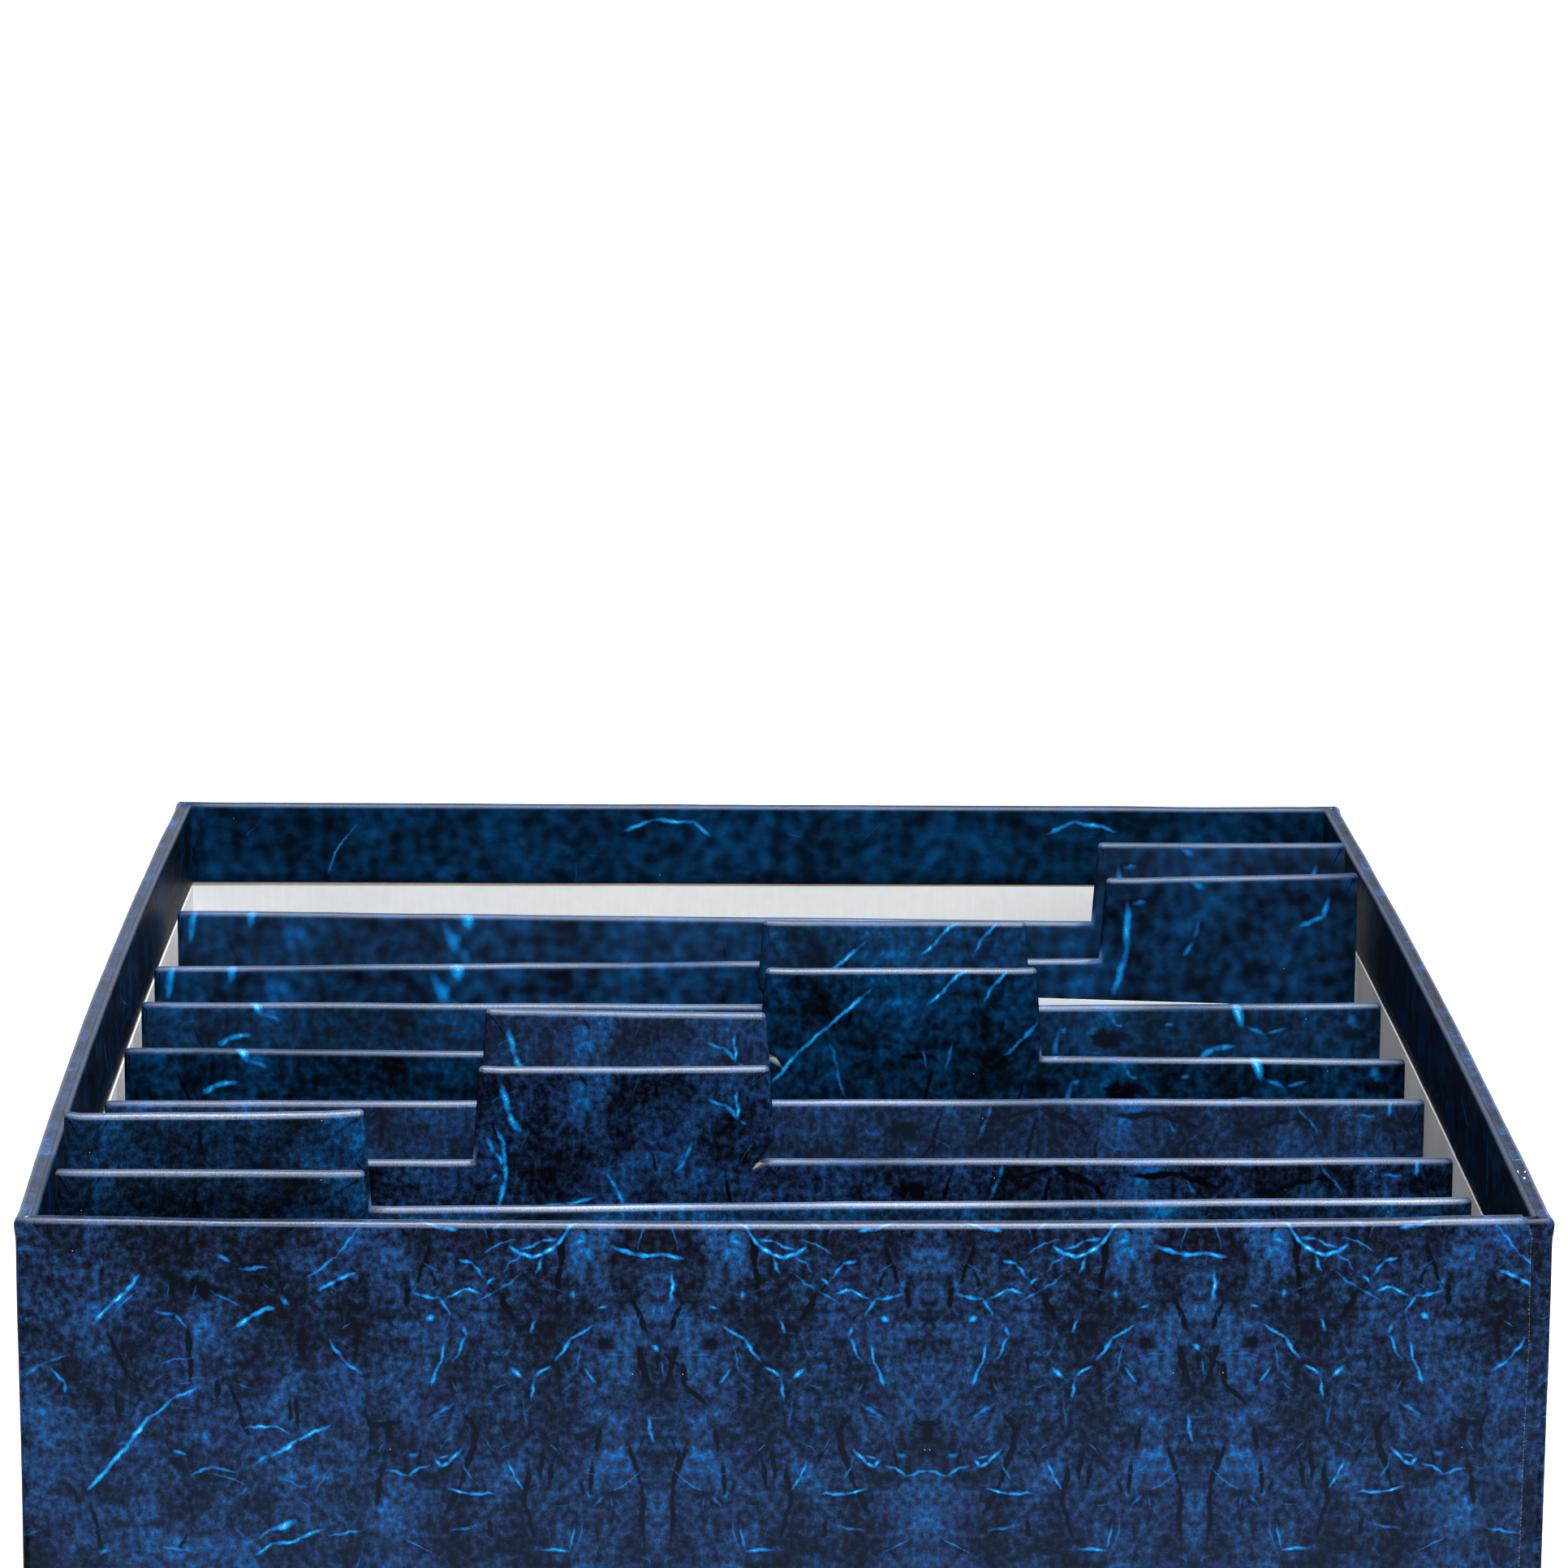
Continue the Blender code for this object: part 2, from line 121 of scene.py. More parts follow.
def chained(marks: tuple[float, ...], counts: tuple[int, ...]) -> list[float]:
    """Return values from the first mark to the last one, with a count of even steps for each stretch."""
    values = [marks[0]]
    for low, high, count in zip(marks, marks[1:], counts):
        values += spread(low, high, count)[1:]
    return values


def smooth(share: float) -> float:
    """Return a share from 0 to 1 eased at both ends, and held there."""
    held = max(0.0, min(1.0, share))
    return held * held * (3 - 2 * held)


@dataclass(frozen=True)
class Stroke:
    """One fibre or crack of the print: a line of points in millimetres, its width and its strength."""

    points: tuple[Point, ...]
    width: float
    strength: float = 1.0


class Nodes:
    """A short way to write one material's node tree."""

    def __init__(self, name: str) -> None:
        """Start a material that has only its shader and its output.

        Args:
            name: the material's name.
        """
        self.material = bpy.data.materials.new(name)
        self.material.use_nodes = True
        self.tree = self.material.node_tree
        self.tree.nodes.clear()
        self.output = self.tree.nodes.new("ShaderNodeOutputMaterial")

    def add(self, kind: str, settings: dict | None = None, **inputs: object) -> bpy.types.Node:
        """Add a node, set its properties, and set or link its inputs.

        Args:
            kind: the node's type, without its ShaderNode prefix.
            settings: properties of the node.
            inputs: values or sockets by input name, with underscores for blanks, or iN for input N.

        Returns:
            The new node.
        """
        node = self.tree.nodes.new("ShaderNode" + kind)
        for key, value in (settings or {}).items():
            setattr(node, key, value)
        for key, value in inputs.items():
            numbered = key[0] == "i" and key[1:].isdigit()
            socket = node.inputs[int(key[1:])] if numbered else node.inputs[key.replace("_", " ")]
            if isinstance(value, Socket):
                self.tree.links.new(value, socket)
            else:
                socket.default_value = value
        return node

    def math(self, operation: str, *values: object, clamp: bool = False) -> Socket:
        """Add a Math node.

        Args:
            operation: the node's operation.
            values: its inputs in order.
            clamp: whether the result is held between 0 and 1.

        Returns:
            Its result.
        """
        inputs = {f"i{index}": value for index, value in enumerate(values)}
        return self.add("Math", {"operation": operation, "use_clamp": clamp}, **inputs).outputs[0]

    def sway(self, wave: object, swing: float, start: object) -> Socket:
        """Move a value by a wave from 0 to 1: up to half of the swing either way."""
        return self.math("MULTIPLY_ADD", self.math("SUBTRACT", wave, 0.5), swing, start)

    def mix(self, share: object, first: object, second: object, blend: str = "MIX") -> Socket:
        """Mix two colours.

        Args:
            share: how much of the second colour.
            first, second: the colours, as sockets or as three numbers.
            blend: the blend type.

        Returns:
            The mixed colour.
        """
        def full(colour: object) -> object:
            return colour if isinstance(colour, Socket) else (*colour, 1.0)

        settings = {"data_type": "RGBA", "blend_type": blend}
        return self.add("Mix", settings, i0=share, i6=full(first), i7=full(second)).outputs[2]

    def ramp(self, value: object, low: float, high: float) -> Socket:
        """Ease a value from 0 at low to 1 at high."""
        settings = {"interpolation_type": "SMOOTHSTEP"}
        return self.add("MapRange", settings, Value=value, From_Min=low, From_Max=high).outputs[0]

    def gradient(self, value: object, stops: tuple[tuple[float, Colour], ...]) -> Socket:
        """Colour a value from 0 to 1 by stops.

        Args:
            value: what is coloured.
            stops: places from 0 to 1 with their colours, in order.

        Returns:
            The colour.
        """
        node = self.add("ValToRGB", {}, Fac=value)
        marks = node.color_ramp.elements
        for place, colour in stops[1:-1]:
            marks.new(place)
        for mark, (place, colour) in zip(marks, stops):
            mark.position = place
            mark.color = (*colour, 1.0)
        return node.outputs[0]

    def noise(self, place: object, size: float, detail: float = 2.0, rough: float = 0.5,
              stretch: Triple = (1, 1, 1), dimensions: str = "2D") -> Socket:
        """Add noise whose grain has a real size.

        Args:
            place: the coordinates, in metres.
            size: the grain in metres.
            detail: the number of finer octaves.
            rough: how strong the finer octaves are.
            stretch: how much denser the grain is along each axis.
            dimensions: 2D on a flat sheet, 3D in the round.

        Returns:
            The noise, from 0 to 1.
        """
        scale = tuple(share / size for share in stretch)
        placed = self.add("Mapping", {}, Vector=place, Scale=scale).outputs[0]
        settings = {"noise_dimensions": dimensions}
        return self.add("TexNoise", settings, Vector=placed, Scale=1.0, Detail=detail,
                        Roughness=rough).outputs["Fac"]

    def coordinates(self, source: Coordinates) -> Socket:
        """Return the coordinates that a finish is laid by."""
        if source is Coordinates.SHEET:
            return self.add("UVMap", {"uv_map": SHEET_MAP}).outputs[0]
        return self.add("TexCoord").outputs["Object"]

    def finish(self, shader: Socket) -> bpy.types.Material:
        """Link the shader to the output and return the material."""
        self.tree.links.new(shader, self.output.inputs["Surface"])
        return self.material


@dataclass(frozen=True)
class Ink:
    """The colours of one run of the print, darkest to brightest, plus a painted highlight and a pale haze."""

    tones: tuple[Colour, ...]
    fibres: tuple[Colour, ...] = (linear(12, 84, 148), linear(8, 136, 202), linear(84, 204, 240))
    crack: Colour = linear(3, 4, 9)
    # a painted highlight: this colour is mixed into the print on the folds
    fold_highlight: Colour = linear(96, 122, 160)
    # the pale colour of the painted bounce light on the front wall, and of the veil on some dividers
    haze_and_bounce_light: Colour = linear(56, 77, 112)
    violet: float = 0.25


NAVY = Ink((linear(4, 7, 12), linear(11, 22, 40), linear(18, 39, 69), linear(22, 56, 98),
            linear(17, 72, 126), linear(8, 100, 174)), violet=1.0)
TEAL = Ink((linear(2, 7, 13), linear(3, 21, 39), linear(4, 36, 64), linear(5, 50, 88),
            linear(4, 66, 114), linear(2, 92, 154)))
BLUE = Ink((linear(4, 8, 13), linear(8, 22, 39), linear(10, 37, 65), linear(12, 52, 90),
            linear(10, 68, 116), linear(5, 95, 158)))
# A darker ink for the side turn-ins: painted shade, as they sit in shade inside the walls
SHADED_INK = Ink((linear(4, 5, 9), linear(5, 11, 22), linear(6, 20, 38), linear(6, 30, 56),
            linear(6, 42, 74), linear(6, 60, 104)),
           (linear(8, 50, 90), linear(8, 84, 130), linear(40, 130, 170)))


@dataclass(frozen=True)
class Scatter:
    """One size of loose stroke; each cell of the paper holds one of them at most.

    The cell is in metres, and slim is half of a stroke's width as a share of it. Share is how many of
    the cells hold a stroke, strength how strong it is, and the shift sets one layer of strokes off
    from the next. The turns are the least and the greatest angle of a stroke.
    """

    cell: float
    slim: float
    share: float
    strength: float
    shift: float
    turns: tuple[float, float] = (0.0, math.pi)


UPRIGHT = (math.radians(60), math.radians(125))
LOOSE_CRACKS = (Scatter(0.0052, 0.065, 0.45, 0.6, 5.3, UPRIGHT),
                Scatter(0.0105, 0.036, 0.30, 0.9, 9.1, UPRIGHT))
LOOSE_FIBRES = (Scatter(0.0036, 0.045, 0.42, 0.30, 3.1), Scatter(0.0072, 0.028, 0.34, 0.46, 7.7))
LARGE_FIBRES = Scatter(0.0145, 0.020, 0.5, 0.95, 1.3)

# The size of the print's blotches, from the broadest to the finest, in metres
BROAD_SIZE = 0.0210
CLOUD_SIZE = 0.0080
HUE_SIZE = 0.0048
PATCH_SIZE = 0.0026
MOTTLE_SIZE = 0.00092
GRAIN_SIZE = 0.00022

# How far each of them moves the tone
BROAD_SWING = 0.34
CLOUD_SWING = 0.82
PATCH_SWING = 0.12
MOTTLE_SWING = 0.88
GRAIN_SWING = 0.28
# how far painted bounce light lifts the tone toward the foot of the front
BOUNCE_LIGHT_SWING = 0.75

# What a soft print loses of its clouds, mottle, cracks and detail, and how much coarser its mottle is
CLOUD_CALM = 0.35
MOTTLE_CALM = 0.42
CRACK_CALM = 0.7
DETAIL_CALM = 1.6
COARSER = 0.9

# The front wall's heights where the painted bounce light starts and is full, lighter toward the foot, and
# over how much height it gives way below
BOUNCE_LIGHT_START = 0.124
BOUNCE_LIGHT_FULL = 0.078
LOWER_REACH = 0.033

# How far the lines of the print are pushed about, and the density of that wave, as waves in a metre
WAVER = 0.0010
WAVES = 360.0

# Where the six tones lie, and over what strength each fibre colour and the cracks' black come in
TONE_STOPS = (0.20, 0.39, 0.54, 0.69, 0.82, 0.95)
FIBRE_RAMPS = ((0.05, 0.36), (0.26, 0.70), (0.66, 1.05))
CRACK_RAMP = (0.03, 0.42)
VIOLET_TINT = (1.0, 0.70, 0.80)

# Over what strength patches, the violet hue, wear, scuffs and the painted highlight on folds come in
PATCH_RAMP = (0.38, 0.62)
HUE_RAMP = (0.46, 0.66)
WEAR_RAMP = (0.40, 0.66)
SCUFF_RAMP = (0.25, 0.50)
FOLD_RAMP = (0.0, 0.25)

# How a loose stroke bends, how much it tapers, and how fast it fades where a cell barely holds one
STROKE_BEND = 1.4
STROKE_TAPER = 2.3
STROKE_FADE = 0.35

# How far one part of a drawn stroke reaches, alone and in a row of parts, and how wide it is
LONE_REACH = 0.60
ROW_REACH = 0.78
STROKE_WIDTH = 0.80
SOFT_WIDTH = 0.25

# What mottle and grain make of the strength of cracks, fibres and the painted highlight on folds: a factor
# and a start
MOTTLE_ON_CRACKS = (-1.2, 1.6)
MOTTLE_ON_FIBRES = (1.5, 0.25)
GRAIN_ON_FIBRES = (0.5, 0.75)
GRAIN_ON_FOLDS = (0.26, 0.11)

# White specks: cells in a metre, the share of them that hold one, its radius in cells and its strength
SPECK_CELLS = 110.0
SPECK_SHARE = 0.12
SPECK_RADIUS = 0.006
SPECK_STRENGTH = 0.6

# How far grain moves the edge of the wear, how strong wear is, and how far mottle moves roughness
WEAR_SWING = 0.35
WEAR_STRENGTH = 0.7
ROUGH_SWING = 0.2

# The embossed grain: its strength, its depth in metres, and the shares of mottle and grain in it
EMBOSS_STRENGTH = 0.25
EMBOSS_DEPTH = 0.00012
EMBOSS_MOTTLE = 0.6
EMBOSS_GRAIN = 0.4
COOL_GLOSS = (0.80, 0.86, 1.0, 1.0)


@dataclass(frozen=True)
class Sheet:
    """What the layers of one printed sheet are worked out from.

    The place is the print's coordinates, warped is the same pushed about, and warped_again repeats
    where the place is mirrored. Mottle and grain are noise. The haze is how strongly painted bounce light
    lightens and hazes the print toward the foot of the front, and lower how far down the sheet a place
    lies, each from 0 to 1.
    """

    nodes: Nodes
    place: Socket
    warped: Socket
    warped_again: Socket
    mottle: Socket
    grain: Socket
    haze_and_bounce_light: Socket | float
    lower: Socket | float


@dataclass(frozen=True)
class FibrePaper:
    """Dark blue printed paper with bright fibres and black cracks, and a fine embossed grain.

    Lone strokes and cracks aren't mirrored with the rest of the print. Below more_below, in metres,
    large fibres are scattered as freely as on the plain cover. The folds get a painted highlight, and the
    front wall can get painted bounce light, lighter toward its foot.
    """

    name: str
    ink: Ink = NAVY
    strokes: tuple[Stroke, ...] = ()
    cracks: tuple[Stroke, ...] = ()
    lone_strokes: tuple[Stroke, ...] = ()
    lone_cracks: tuple[Stroke, ...] = ()
    scuffs: tuple[Stroke, ...] = ()
    coordinates: Coordinates = Coordinates.SHEET
    mirror_from: float | None = None
    mirror_span: float = 0.03085
    mirrors: int = 3
    softness: float = 0.0
    shade: float = 0.0
    # painted bounce light: how much lighter and hazier the print is made toward the foot of the front
    painted_bounce_light: float = 0.0
    veil: float = 0.0
    loose: float = 1.0
    large_share: float = 0.5
    more_below: float | None = None
    more_shift: float = 6.3
    core: Colour = linear(226, 226, 230)
    gloss: float = 0.02
    fold_gloss: float = 0.90
    sparkle: float = 1.2
    roughness: float = 0.42
    fold_roughness: float = 0.30

    def places(self, nodes: Nodes) -> tuple[Socket, Socket]:
        """Return the print's coordinates, mirrored past one line, and those that only repeat there.

        Args:
            nodes: the material's nodes.

        Returns:
            The mirrored coordinates and the repeated ones.
        """
        place = nodes.coordinates(self.coordinates)
        if self.mirror_from is None:
            return place, place
        parts = nodes.add("SeparateXYZ", {}, Vector=place).outputs
        past = nodes.math("SUBTRACT", parts[0], self.mirror_from)
        mirrored_end = self.mirror_span * self.mirrors
        held = nodes.math("MINIMUM", nodes.math("MAXIMUM", past, 0.0), mirrored_end)
        mirrored = nodes.math("PINGPONG", held, self.mirror_span)
        beyond = nodes.math("MAXIMUM", nodes.math("SUBTRACT", past, mirrored_end), 0.0)
        mirrored = nodes.math("ADD", mirrored, beyond)
        across = nodes.math("SUBTRACT", nodes.math("MINIMUM", past, 0.0), mirrored)
        across = nodes.math("ADD", across, self.mirror_from)
        first = self.mirror_from - self.mirror_span
        held = nodes.math("MAXIMUM", parts[0], first)
        again = nodes.math("WRAP", held, first + 2 * self.mirror_span, first)
        return (nodes.add("CombineXYZ", {}, X=across, Y=parts[1], Z=0.0).outputs[0],
                nodes.add("CombineXYZ", {}, X=again, Y=parts[1], Z=0.0).outputs[0])

    @staticmethod
    def warped(nodes: Nodes, place: Socket) -> Socket:
        """Push coordinates about by a fraction of a millimetre, so that no line on them is straight."""
        wave = nodes.add("TexNoise", {"noise_dimensions": "2D"}, Vector=place, Scale=WAVES, Detail=3.0,
                         Roughness=0.60).outputs[1]
        centred = nodes.add("VectorMath", {"operation": "SUBTRACT"}, i0=wave, i1=(0.5, 0.5, 0.5)).outputs[0]
        reach = (WAVER, WAVER, 0)
        pushed = nodes.add("VectorMath", {"operation": "MULTIPLY"}, i0=centred, i1=reach).outputs[0]
        return nodes.add("VectorMath", {"operation": "ADD"}, i0=place, i1=pushed).outputs[0]

    def drawn(self, nodes: Nodes, place: Socket, strokes: tuple[Stroke, ...], total: object = 0.0) -> Socket:
        """Lay each part of each stroke as a soft tapered streak.

        Args:
            nodes: the material's nodes.
            place: the print's coordinates.
            strokes: the strokes, in millimetres.
            total: what is drawn already.

        Returns:
            How strongly a stroke covers the place.
        """
        for strength in sorted({stroke.strength for stroke in strokes}):
            layer: object = 0.0
            for stroke in strokes:
                if stroke.strength != strength:
                    continue
                reach = LONE_REACH if len(stroke.points) == 2 else ROW_REACH
                wide = stroke.width * (STROKE_WIDTH + SOFT_WIDTH * self.softness)
                for start, end in zip(stroke.points, stroke.points[1:]):
                    middle = ((start[0] + end[0]) / 2 * MM, (start[1] + end[1]) / 2 * MM, 0)
                    turn = math.atan2(end[1] - start[1], end[0] - start[0])
                    scale = (math.dist(start, end) * reach * MM, wide * MM, 1)
                    local = nodes.add("Mapping", {"vector_type": "TEXTURE"}, Vector=place, Location=middle,
                                      Rotation=(0, 0, turn), Scale=scale).outputs[0]
                    streak = nodes.add("TexGradient", {"gradient_type": "SPHERICAL"}, Vector=local).outputs[1]
                    layer = nodes.math("MAXIMUM", streak, layer)
            total = nodes.math("MAXIMUM", nodes.math("MULTIPLY", layer, strength), total)
        return total

    @staticmethod
    def scattered(nodes: Nodes, place: Socket, loose: Scatter) -> Socket:
        """Scatter bent strokes of one size, one at most in each cell.

        Args:
            nodes: the material's nodes.
            place: the print's coordinates.
            loose: the size, number and turns of the strokes.

        Returns:
            How strongly a stroke covers the place.
        """
        scaled = nodes.add("Mapping", {}, Vector=place, Location=(loose.shift, loose.shift, 0),
                           Scale=(1 / loose.cell, 1 / loose.cell, 0)).outputs[0]
        cells = nodes.add("TexVoronoi", {"voronoi_dimensions": "2D"}, Vector=scaled, Scale=1.0,
                          Randomness=1.0).outputs
        local = nodes.add("VectorMath", {"operation": "SUBTRACT"}, i0=scaled, i1=cells["Position"]).outputs[0]
        chance = nodes.add("SeparateColor", {}, Color=cells["Color"]).outputs
        least, greatest = loose.turns
        angle = nodes.math("MULTIPLY_ADD", chance[0], least - greatest, -least)
        turned = nodes.add("VectorRotate", {"rotation_type": "Z_AXIS"}, Vector=local, Angle=angle).outputs[0]
        parts = nodes.add("SeparateXYZ", {}, Vector=turned).outputs
        curve = nodes.math("MULTIPLY", parts[0], parts[0])
        bend = nodes.math("MULTIPLY_ADD", chance[2], STROKE_BEND, -STROKE_BEND / 2)
        across = nodes.math("MULTIPLY_ADD", curve, bend, parts[1])
        flat = nodes.add("CombineXYZ", {}, X=nodes.math("MULTIPLY", parts[0], STROKE_TAPER),
                         Y=nodes.math("MULTIPLY", across, 1 / loose.slim)).outputs[0]
        streak = nodes.add("TexGradient", {"gradient_type": "SPHERICAL"}, Vector=flat).outputs[1]
        spare = nodes.math("SUBTRACT", loose.share, chance[1])
        some = nodes.math("DIVIDE", spare, loose.share, clamp=True)
        return nodes.math("MULTIPLY", streak, nodes.math("POWER", some, STROKE_FADE))

    def layered(self, sheet: Sheet, layers: tuple[Scatter, ...], factor: float) -> Socket:
        """Scatter layers of strokes, the strongest on top.

        Args:
            sheet: the sheet.
            layers: the two layers.
            factor: what share of its strength each has.

        Returns:
            How strongly a stroke covers the place.
        """
        nodes = sheet.nodes
        found = [nodes.math("MULTIPLY", self.scattered(nodes, sheet.warped, layer), layer.strength * factor)
                 for layer in layers]
        return nodes.math("MAXIMUM", *found)

    def sheet(self) -> Sheet:
        """Start the material and work out what its layers share."""
        nodes = Nodes(self.name)
        place, again = self.places(nodes)
        warped = self.warped(nodes, place)
        warped_again = self.warped(nodes, again) if self.mirror_from is not None else warped
        size = MOTTLE_SIZE * (1 + COARSER * max(0.0, self.softness))
        mottle = nodes.noise(place, size, max(0.0, 2.0 - DETAIL_CALM * self.softness), 0.5, (1.05, 0.95, 1.0))
        grain = nodes.noise(place, GRAIN_SIZE, 1.0, 0.5)
        haze_and_bounce_light: Socket | float = 0.0
        lower: Socket | float = 0.0
        fall = nodes.math("MULTIPLY", nodes.add("SeparateXYZ", {}, Vector=place).outputs[1], -1.0)
        # the mask of the painted bounce light: none high on the front, full toward its foot
        if self.painted_bounce_light:
            haze_and_bounce_light = nodes.ramp(fall, -BOUNCE_LIGHT_START, -BOUNCE_LIGHT_FULL)
        if self.more_below is not None:
            lower = nodes.ramp(fall, -self.more_below, LOWER_REACH - self.more_below)
        return Sheet(nodes, place, warped, warped_again, mottle, grain, haze_and_bounce_light, lower)

    def ground(self, sheet: Sheet) -> Socket:
        """Return the colour of the clouds and blotches under the fibres."""
        nodes = sheet.nodes
        cloud = nodes.noise(sheet.place, CLOUD_SIZE, 2.0, 0.5, (1.0, 0.85, 1.0))
        broad = nodes.noise(sheet.place, BROAD_SIZE, 2.0, 0.5)
        patch = nodes.ramp(nodes.noise(sheet.warped, PATCH_SIZE, 3.0, 0.58, (0.8, 1.2, 1.0)), *PATCH_RAMP)
        calm = max(0.0, self.softness)
        swing = CLOUD_SWING * (1 - CLOUD_CALM * calm)
        tone = nodes.math("MULTIPLY_ADD", cloud, swing, self.shade - swing / 2)
        tone = nodes.sway(broad, BROAD_SWING, tone)
        # painted bounce light: the tone lighter toward the foot of the front
        tone = nodes.math("MULTIPLY_ADD", sheet.haze_and_bounce_light, BOUNCE_LIGHT_SWING * self.painted_bounce_light, tone)
        tone = nodes.sway(patch, PATCH_SWING, tone)
        tone = nodes.sway(sheet.mottle, MOTTLE_SWING * (1 - MOTTLE_CALM * calm), tone)
        tone = nodes.sway(sheet.grain, GRAIN_SWING * max(0.0, 1 - self.softness), tone)
        tone = nodes.math("ADD", tone, 0.5)
        colour = nodes.gradient(tone, tuple(zip(TONE_STOPS, self.ink.tones)))
        hue = nodes.ramp(nodes.noise(sheet.warped, HUE_SIZE, 3.0, 0.6), *HUE_RAMP)
        return nodes.mix(nodes.math("MULTIPLY", hue, self.ink.violet), colour, VIOLET_TINT, "MULTIPLY")

    def cracked(self, sheet: Sheet, colour: Socket) -> Socket:
        """Lay the black cracks over the ground, most of all where the mottle is dark.

        Args:
            sheet: the sheet.
            colour: what lies under them.

        Returns:
            The colour with them.
        """
        nodes = sheet.nodes
        crack = self.layered(sheet, LOOSE_CRACKS, 1 - CRACK_CALM * min(1.0, max(0.0, self.softness)))
        crack = self.drawn(nodes, sheet.warped, self.cracks, crack)
        crack = self.drawn(nodes, sheet.warped_again, self.lone_cracks, crack)
        crack = nodes.math("MULTIPLY", crack, nodes.math("MULTIPLY_ADD", sheet.mottle, *MOTTLE_ON_CRACKS))
        return nodes.mix(nodes.ramp(crack, *CRACK_RAMP), colour, self.ink.crack)

    def fibred(self, sheet: Sheet, colour: Socket) -> Socket:
        """Lay the fibres over the cracks, brightest in their middles.

        Args:
            sheet: the sheet.
            colour: what lies under them.

        Returns:
            The colour with them.
        """
        nodes = sheet.nodes
        large = self.scattered(nodes, sheet.warped, replace(LARGE_FIBRES, share=self.large_share))
        if self.more_below is not None:
            more = self.scattered(nodes, sheet.warped, replace(LARGE_FIBRES, shift=self.more_shift))
            large = nodes.math("MAXIMUM", large, nodes.math("MULTIPLY", more, sheet.lower))
        strength = self.layered(sheet, LOOSE_FIBRES, self.loose)
        strength = nodes.math("MAXIMUM", strength, nodes.math("MULTIPLY", large, LARGE_FIBRES.strength))
        strength = self.drawn(nodes, sheet.warped, self.strokes, strength)
        strength = self.drawn(nodes, sheet.warped_again, self.lone_strokes, strength)
        for wave, share in ((sheet.mottle, MOTTLE_ON_FIBRES), (sheet.grain, GRAIN_ON_FIBRES)):
            strength = nodes.math("MULTIPLY", strength, nodes.math("MULTIPLY_ADD", wave, *share))
        for limits, fibre in zip(FIBRE_RAMPS, self.ink.fibres):
            colour = nodes.mix(nodes.ramp(strength, *limits), colour, fibre)
        return colour

    def bounce_lit_and_veiled(self, sheet: Sheet, colour: Socket) -> Socket:
        """Lay painted bounce light as a pale haze over the front, and a veil over the whole of a print that
        has one.

        Args:
            sheet: the sheet.
            colour: what lies under them.

        Returns:
            The colour with them.
        """
        nodes = sheet.nodes
        # painted bounce light: a pale haze over the front, giving way further down
        if self.painted_bounce_light:
            share = nodes.math("MULTIPLY", nodes.math("SUBTRACT", sheet.haze_and_bounce_light, sheet.lower), self.painted_bounce_light)
            colour = nodes.mix(share, colour, self.ink.haze_and_bounce_light)
        if self.veil:
            colour = nodes.mix(self.veil, colour, self.ink.haze_and_bounce_light)
        return colour

    def worn(self, sheet: Sheet, colour: Socket) -> Socket:
        """Lay the paper's core bare in fine specks, at worn points and in scuffs.

        Args:
            sheet: the sheet.
            colour: the print.

        Returns:
            The worn print.
        """
        nodes = sheet.nodes
        specks = nodes.add("TexVoronoi", {"voronoi_dimensions": "2D"}, Vector=sheet.place,
                           Scale=SPECK_CELLS).outputs
        chance = nodes.add("SeparateColor", {}, Color=specks["Color"]).outputs[0]
        dot = nodes.math("MULTIPLY", nodes.math("LESS_THAN", specks["Distance"], SPECK_RADIUS),
                         nodes.math("LESS_THAN", chance, SPECK_SHARE))
        bare = nodes.add("Attribute", {"attribute_name": WEAR}).outputs["Fac"]
        bare = nodes.ramp(nodes.sway(sheet.grain, WEAR_SWING, bare), *WEAR_RAMP)
        bare = nodes.math("MULTIPLY", bare, WEAR_STRENGTH)
        if self.scuffs:
            scuffed = nodes.ramp(self.drawn(nodes, sheet.warped, self.scuffs), *SCUFF_RAMP)
            bare = nodes.math("MAXIMUM", bare, scuffed)
        bare = nodes.math("MAXIMUM", nodes.math("MULTIPLY", dot, SPECK_STRENGTH), bare)
        return nodes.mix(bare, colour, self.core)

    def make(self) -> bpy.types.Material:
        """Build the material.

        Returns:
            The finished paper.
        """
        sheet = self.sheet()
        nodes = sheet.nodes
        colour = self.fibred(sheet, self.cracked(sheet, self.ground(sheet)))
        colour = self.worn(sheet, self.bounce_lit_and_veiled(sheet, colour))
        # The fold attribute gives the folds more gloss, and mixes a painted highlight colour into the print
        # there
        gloss_and_highlight = nodes.add("Attribute", {"attribute_name": FOLD_GLOSS_AND_HIGHLIGHT}).outputs["Fac"]
        fold_highlight = nodes.math("MULTIPLY_ADD", sheet.grain, *GRAIN_ON_FOLDS)
        fold_highlight = nodes.math("MULTIPLY", nodes.ramp(gloss_and_highlight, *FOLD_RAMP), fold_highlight)
        colour = nodes.mix(fold_highlight, colour, self.ink.fold_highlight)
        height = nodes.math("MULTIPLY", sheet.grain, EMBOSS_GRAIN)
        height = nodes.math("MULTIPLY_ADD", sheet.mottle, EMBOSS_MOTTLE, height)
        bump = nodes.add("Bump", {}, Strength=EMBOSS_STRENGTH, Distance=EMBOSS_DEPTH,
                         Height=height).outputs[0]
        rough = nodes.math("MULTIPLY_ADD", gloss_and_highlight, self.fold_roughness - self.roughness, self.roughness)
        rough = nodes.sway(sheet.mottle, ROUGH_SWING, rough)
        sparkle = nodes.math("MULTIPLY_ADD", sheet.grain, self.sparkle, 1 - self.sparkle / 2)
        sparkle = nodes.math("MULTIPLY", gloss_and_highlight, sparkle)
        gloss = nodes.math("MAXIMUM", nodes.math("MULTIPLY_ADD", sparkle, self.fold_gloss, self.gloss), 0.0)
